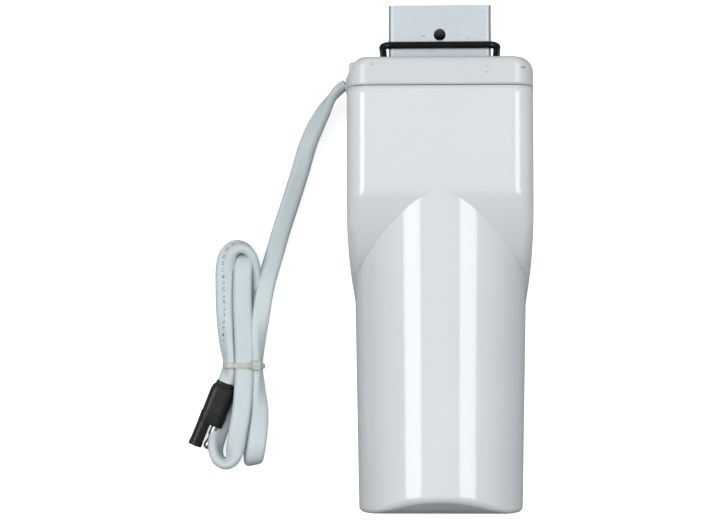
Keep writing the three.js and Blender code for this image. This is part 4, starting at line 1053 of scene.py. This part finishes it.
def makeSpigot(settings):
    centre, start, top = settings["centre"], settings["from"], settings["top"]
    tube = prismAlongY("spigotTube", *settings["size"], 0, centre, start, top, 12)
    flange = prismAlongY("spigotFlange", *settings["flange"], 0, centre, start, settings["flangeTop"])
    bore = prismAlongY("spigotBore", *settings["bore"], 0, centre, start - 2, top + 2)
    whole = joinSolids("spigotWithFlange", tube, flange, "UNION")
    whole = joinSolids("spigotWithBore", whole, bore, "DIFFERENCE")
    drill = bmesh.new()
    bmesh.ops.create_cone(drill, cap_ends=True, segments=40, radius1=settings["holeRadius"],
                          radius2=settings["holeRadius"], depth=90)
    bmesh.ops.translate(drill, vec=(0, top - settings["holeFromTop"], centre), verts=drill.verts)
    whole = joinSolids("mountingSpigot", whole, meshFrom(drill, "crossHole"), "DIFFERENCE")
    whole.polygons.foreach_set("use_smooth", [True] * len(whole.polygons))
    whole.set_sharp_from_angle(angle=math.radians(30))
    return whole


mountingSpigot = finishPiece("mountingSpigot", makeSpigot(spigot), aluminium,
                             ["mounting_spigot"])
brokenEdges = mountingSpigot.modifiers.new("brokenEdges", "BEVEL")
brokenEdges.width = spigot["brokenEdge"] * mm
brokenEdges.segments = 3
brokenEdges.limit_method = "ANGLE"
brokenEdges.angle_limit = math.radians(35)
brokenEdges.harden_normals = False
print("spigot made")


# rubber ring on the spigot
ring = {
    "radius": 1.85,
    "bend": 4.5,
    "halfX": 28.0 + 1.65 - 4.5,  # half widths of the ring's centreline, short of its bends
    "halfZ": 20.2 + 1.85 - 4.5,
    "front": 110.0,
    "back": 104.65,
    "centre": 42.0,
    "depth": 40.0,
}


def makeRing(settings):
    straight, bendSteps, around = 14, 14, 20
    lean = math.atan2(settings["front"] - settings["back"], settings["depth"])
    path = []
    for sx, sz, start in ((1, 1, 0), (-1, 1, 90), (-1, -1, 180), (1, -1, 270)):
        for k in range(bendSteps + 1):
            a = math.radians(start + 90 * k / bendSteps)
            path.append((sx * settings["halfX"] + settings["bend"] * math.cos(a),
                         sz * settings["halfZ"] + settings["bend"] * math.sin(a), math.cos(a), math.sin(a)))
    filled = []
    for here, there in zip(path, path[1:] + path[:1]):
        gapLength = math.hypot(there[0] - here[0], there[1] - here[1])
        count = straight if gapLength > 5 else 1
        filled += [tuple(h + (t - h) * k / count for h, t in zip(here, there)) for k in range(count)]
    bm, byPlace = sheetGrid(around, len(filled))
    middle = Vector((0, (settings["front"] + settings["back"]) / 2, settings["centre"]))
    for (i, j), vert in byPlace.items():
        x, up, nx, nUp = filled[j % len(filled)]
        a = 2 * math.pi * i / around
        out, along = settings["radius"] * math.cos(a), settings["radius"] * math.sin(a)
        local = Vector((x + nx * out, along, up + nUp * out))
        turned = Vector((local.x, local.y * math.cos(lean) + local.z * math.sin(lean),
                         local.z * math.cos(lean) - local.y * math.sin(lean)))
        vert.co = middle + turned
    return meshFrom(bm, "spigotRing", 60)


spigotRing = finishPiece("spigotRing", makeRing(ring), rubber, ["spigot_ring"])
print("ring made")


# floor and lamps
stage = {
    "floor": ("#F4F5F5", "#FAFBFB"),
    "floorGlow": 0.62,
    "sky": "#F2F4F5",
    "leftSky": 0.58,  # brightness of the room on each side, overhead, below and past the lower end
    "rightSky": 0.5,
    "zenith": 0.5,
    "belowSky": 0.5,
    "lowSky": 0.1,
    "sideFade": (-0.6, 0.6),  # directions over which the room's brightness changes
    "zenithFade": (0.3, 0.92),
    "lowFade": (-0.85, -0.2),
    "belowFade": (-0.25, 0.05),
    "lamps": [
        # name, middle of the lamp, its size across and along, power in watts
        ("leftStrip", (-0.66, 0.03, 0.90), (0.43, 0.58), 4.2),
        ("rightStrip", (0.65, 0.03, 0.90), (0.43, 0.58), 3.8),
        ("overheadFill", (0.0, 0.03, 1.5), (0.8, 0.8), 2.2),
    ],
}


def makeFloor(settings):
    bm = bmesh.new()
    bmesh.ops.create_grid(bm, x_segments=2, y_segments=2, size=4.0)
    bmesh.ops.translate(bm, vec=(0, 0, -0.0004), verts=bm.verts)
    mesh = bpy.data.meshes.new("studioFloor")
    bm.to_mesh(mesh)
    bm.free()
    paper, tree, shader, place = startMaterial("mattWhitePaper", {
        "Roughness": 0.9, "Specular IOR Level": 0.1, "Emission Color": (1.0, 1.0, 1.0, 1.0),
        "Emission Strength": settings["floorGlow"]})
    tone = addNode(tree, "ShaderNodeTexNoise", {"Scale": 3.0, "Detail": 2.0}, {"Vector": place}).outputs[0]
    tree.links.new(mixColours(tree, tone, *[linear(c) for c in settings["floor"]]), shader.inputs["Base Color"])
    # seen from underneath the paper is clear, so that the head's back shows
    below = addNode(tree, "ShaderNodeNewGeometry", {}).outputs["Backfacing"]
    clear = addNode(tree, "ShaderNodeBsdfTransparent", {}).outputs[0]
    both = addNode(tree, "ShaderNodeMixShader", {}, {0: below, 1: shader.outputs[0], 2: clear})
    tree.links.new(both.outputs[0], tree.nodes["Material Output"].inputs["Surface"])
    mesh.materials.append(paper)
    floor = bpy.data.objects.new("studioFloor", mesh)
    floor.visible_diffuse = False  # the paper lights nothing, so the head's sides stay soft grey
    floor.visible_glossy = False
    bpy.context.scene.collection.objects.link(floor)


def makeLamps(settings):
    world = bpy.data.worlds.new("studioLight")
    bpy.context.scene.world = world
    world.use_nodes = True
    tree = world.node_tree
    sky = tree.nodes["Background"]
    sky.inputs["Color"].default_value = linear(settings["sky"])
    towards = addNode(tree, "ShaderNodeTexCoord", {}).outputs["Generated"]
    split = addNode(tree, "ShaderNodeSeparateXYZ", {}, {"Vector": towards}).outputs

    def faded(name, axis, low=0.0, high=1.0):
        start, end = settings[name]
        return addNode(tree, "ShaderNodeMapRange", {"From Min": start, "From Max": end, "To Min": low,
                                                    "To Max": high}, {"Value": split[axis]}).outputs[0]

    sides = faded("sideFade", 0, settings["leftSky"], settings["rightSky"])
    rise = faded("zenithFade", 2)
    room = addNode(tree, "ShaderNodeMix", {3: settings["zenith"]}, {0: rise, 2: sides}).outputs[0]
    fall = faded("lowFade", 1, settings["lowSky"])
    under = faded("belowFade", 2, settings["belowSky"])
    dimmed = multiplied(tree, fall, under)
    strength = multiplied(tree, room, dimmed)
    tree.links.new(strength, sky.inputs["Strength"])
    for name, centre, size, power in settings["lamps"]:
        lamp = bpy.data.lights.new(name, "AREA")
        lamp.shape = "RECTANGLE"
        lamp.size, lamp.size_y = size
        lamp.energy = power
        holder = bpy.data.objects.new(name, lamp)
        bpy.context.scene.collection.objects.link(holder)
        back = (Vector(centre) - Vector((0, centre[1], 0.07))).normalized()
        right = Vector((0, 1, 0)).cross(back).normalized()
        place = Matrix((right, back.cross(right), back)).transposed().to_4x4()
        place.translation = Vector(centre)
        holder.matrix_world = place
        holder.visible_camera = False
        holder.visible_glossy = "Strip" in name  # only the two strips show as streaks


makeFloor(stage)
makeLamps(stage)
bpy.context.scene.view_settings.view_transform = "Standard"
print("stage made")
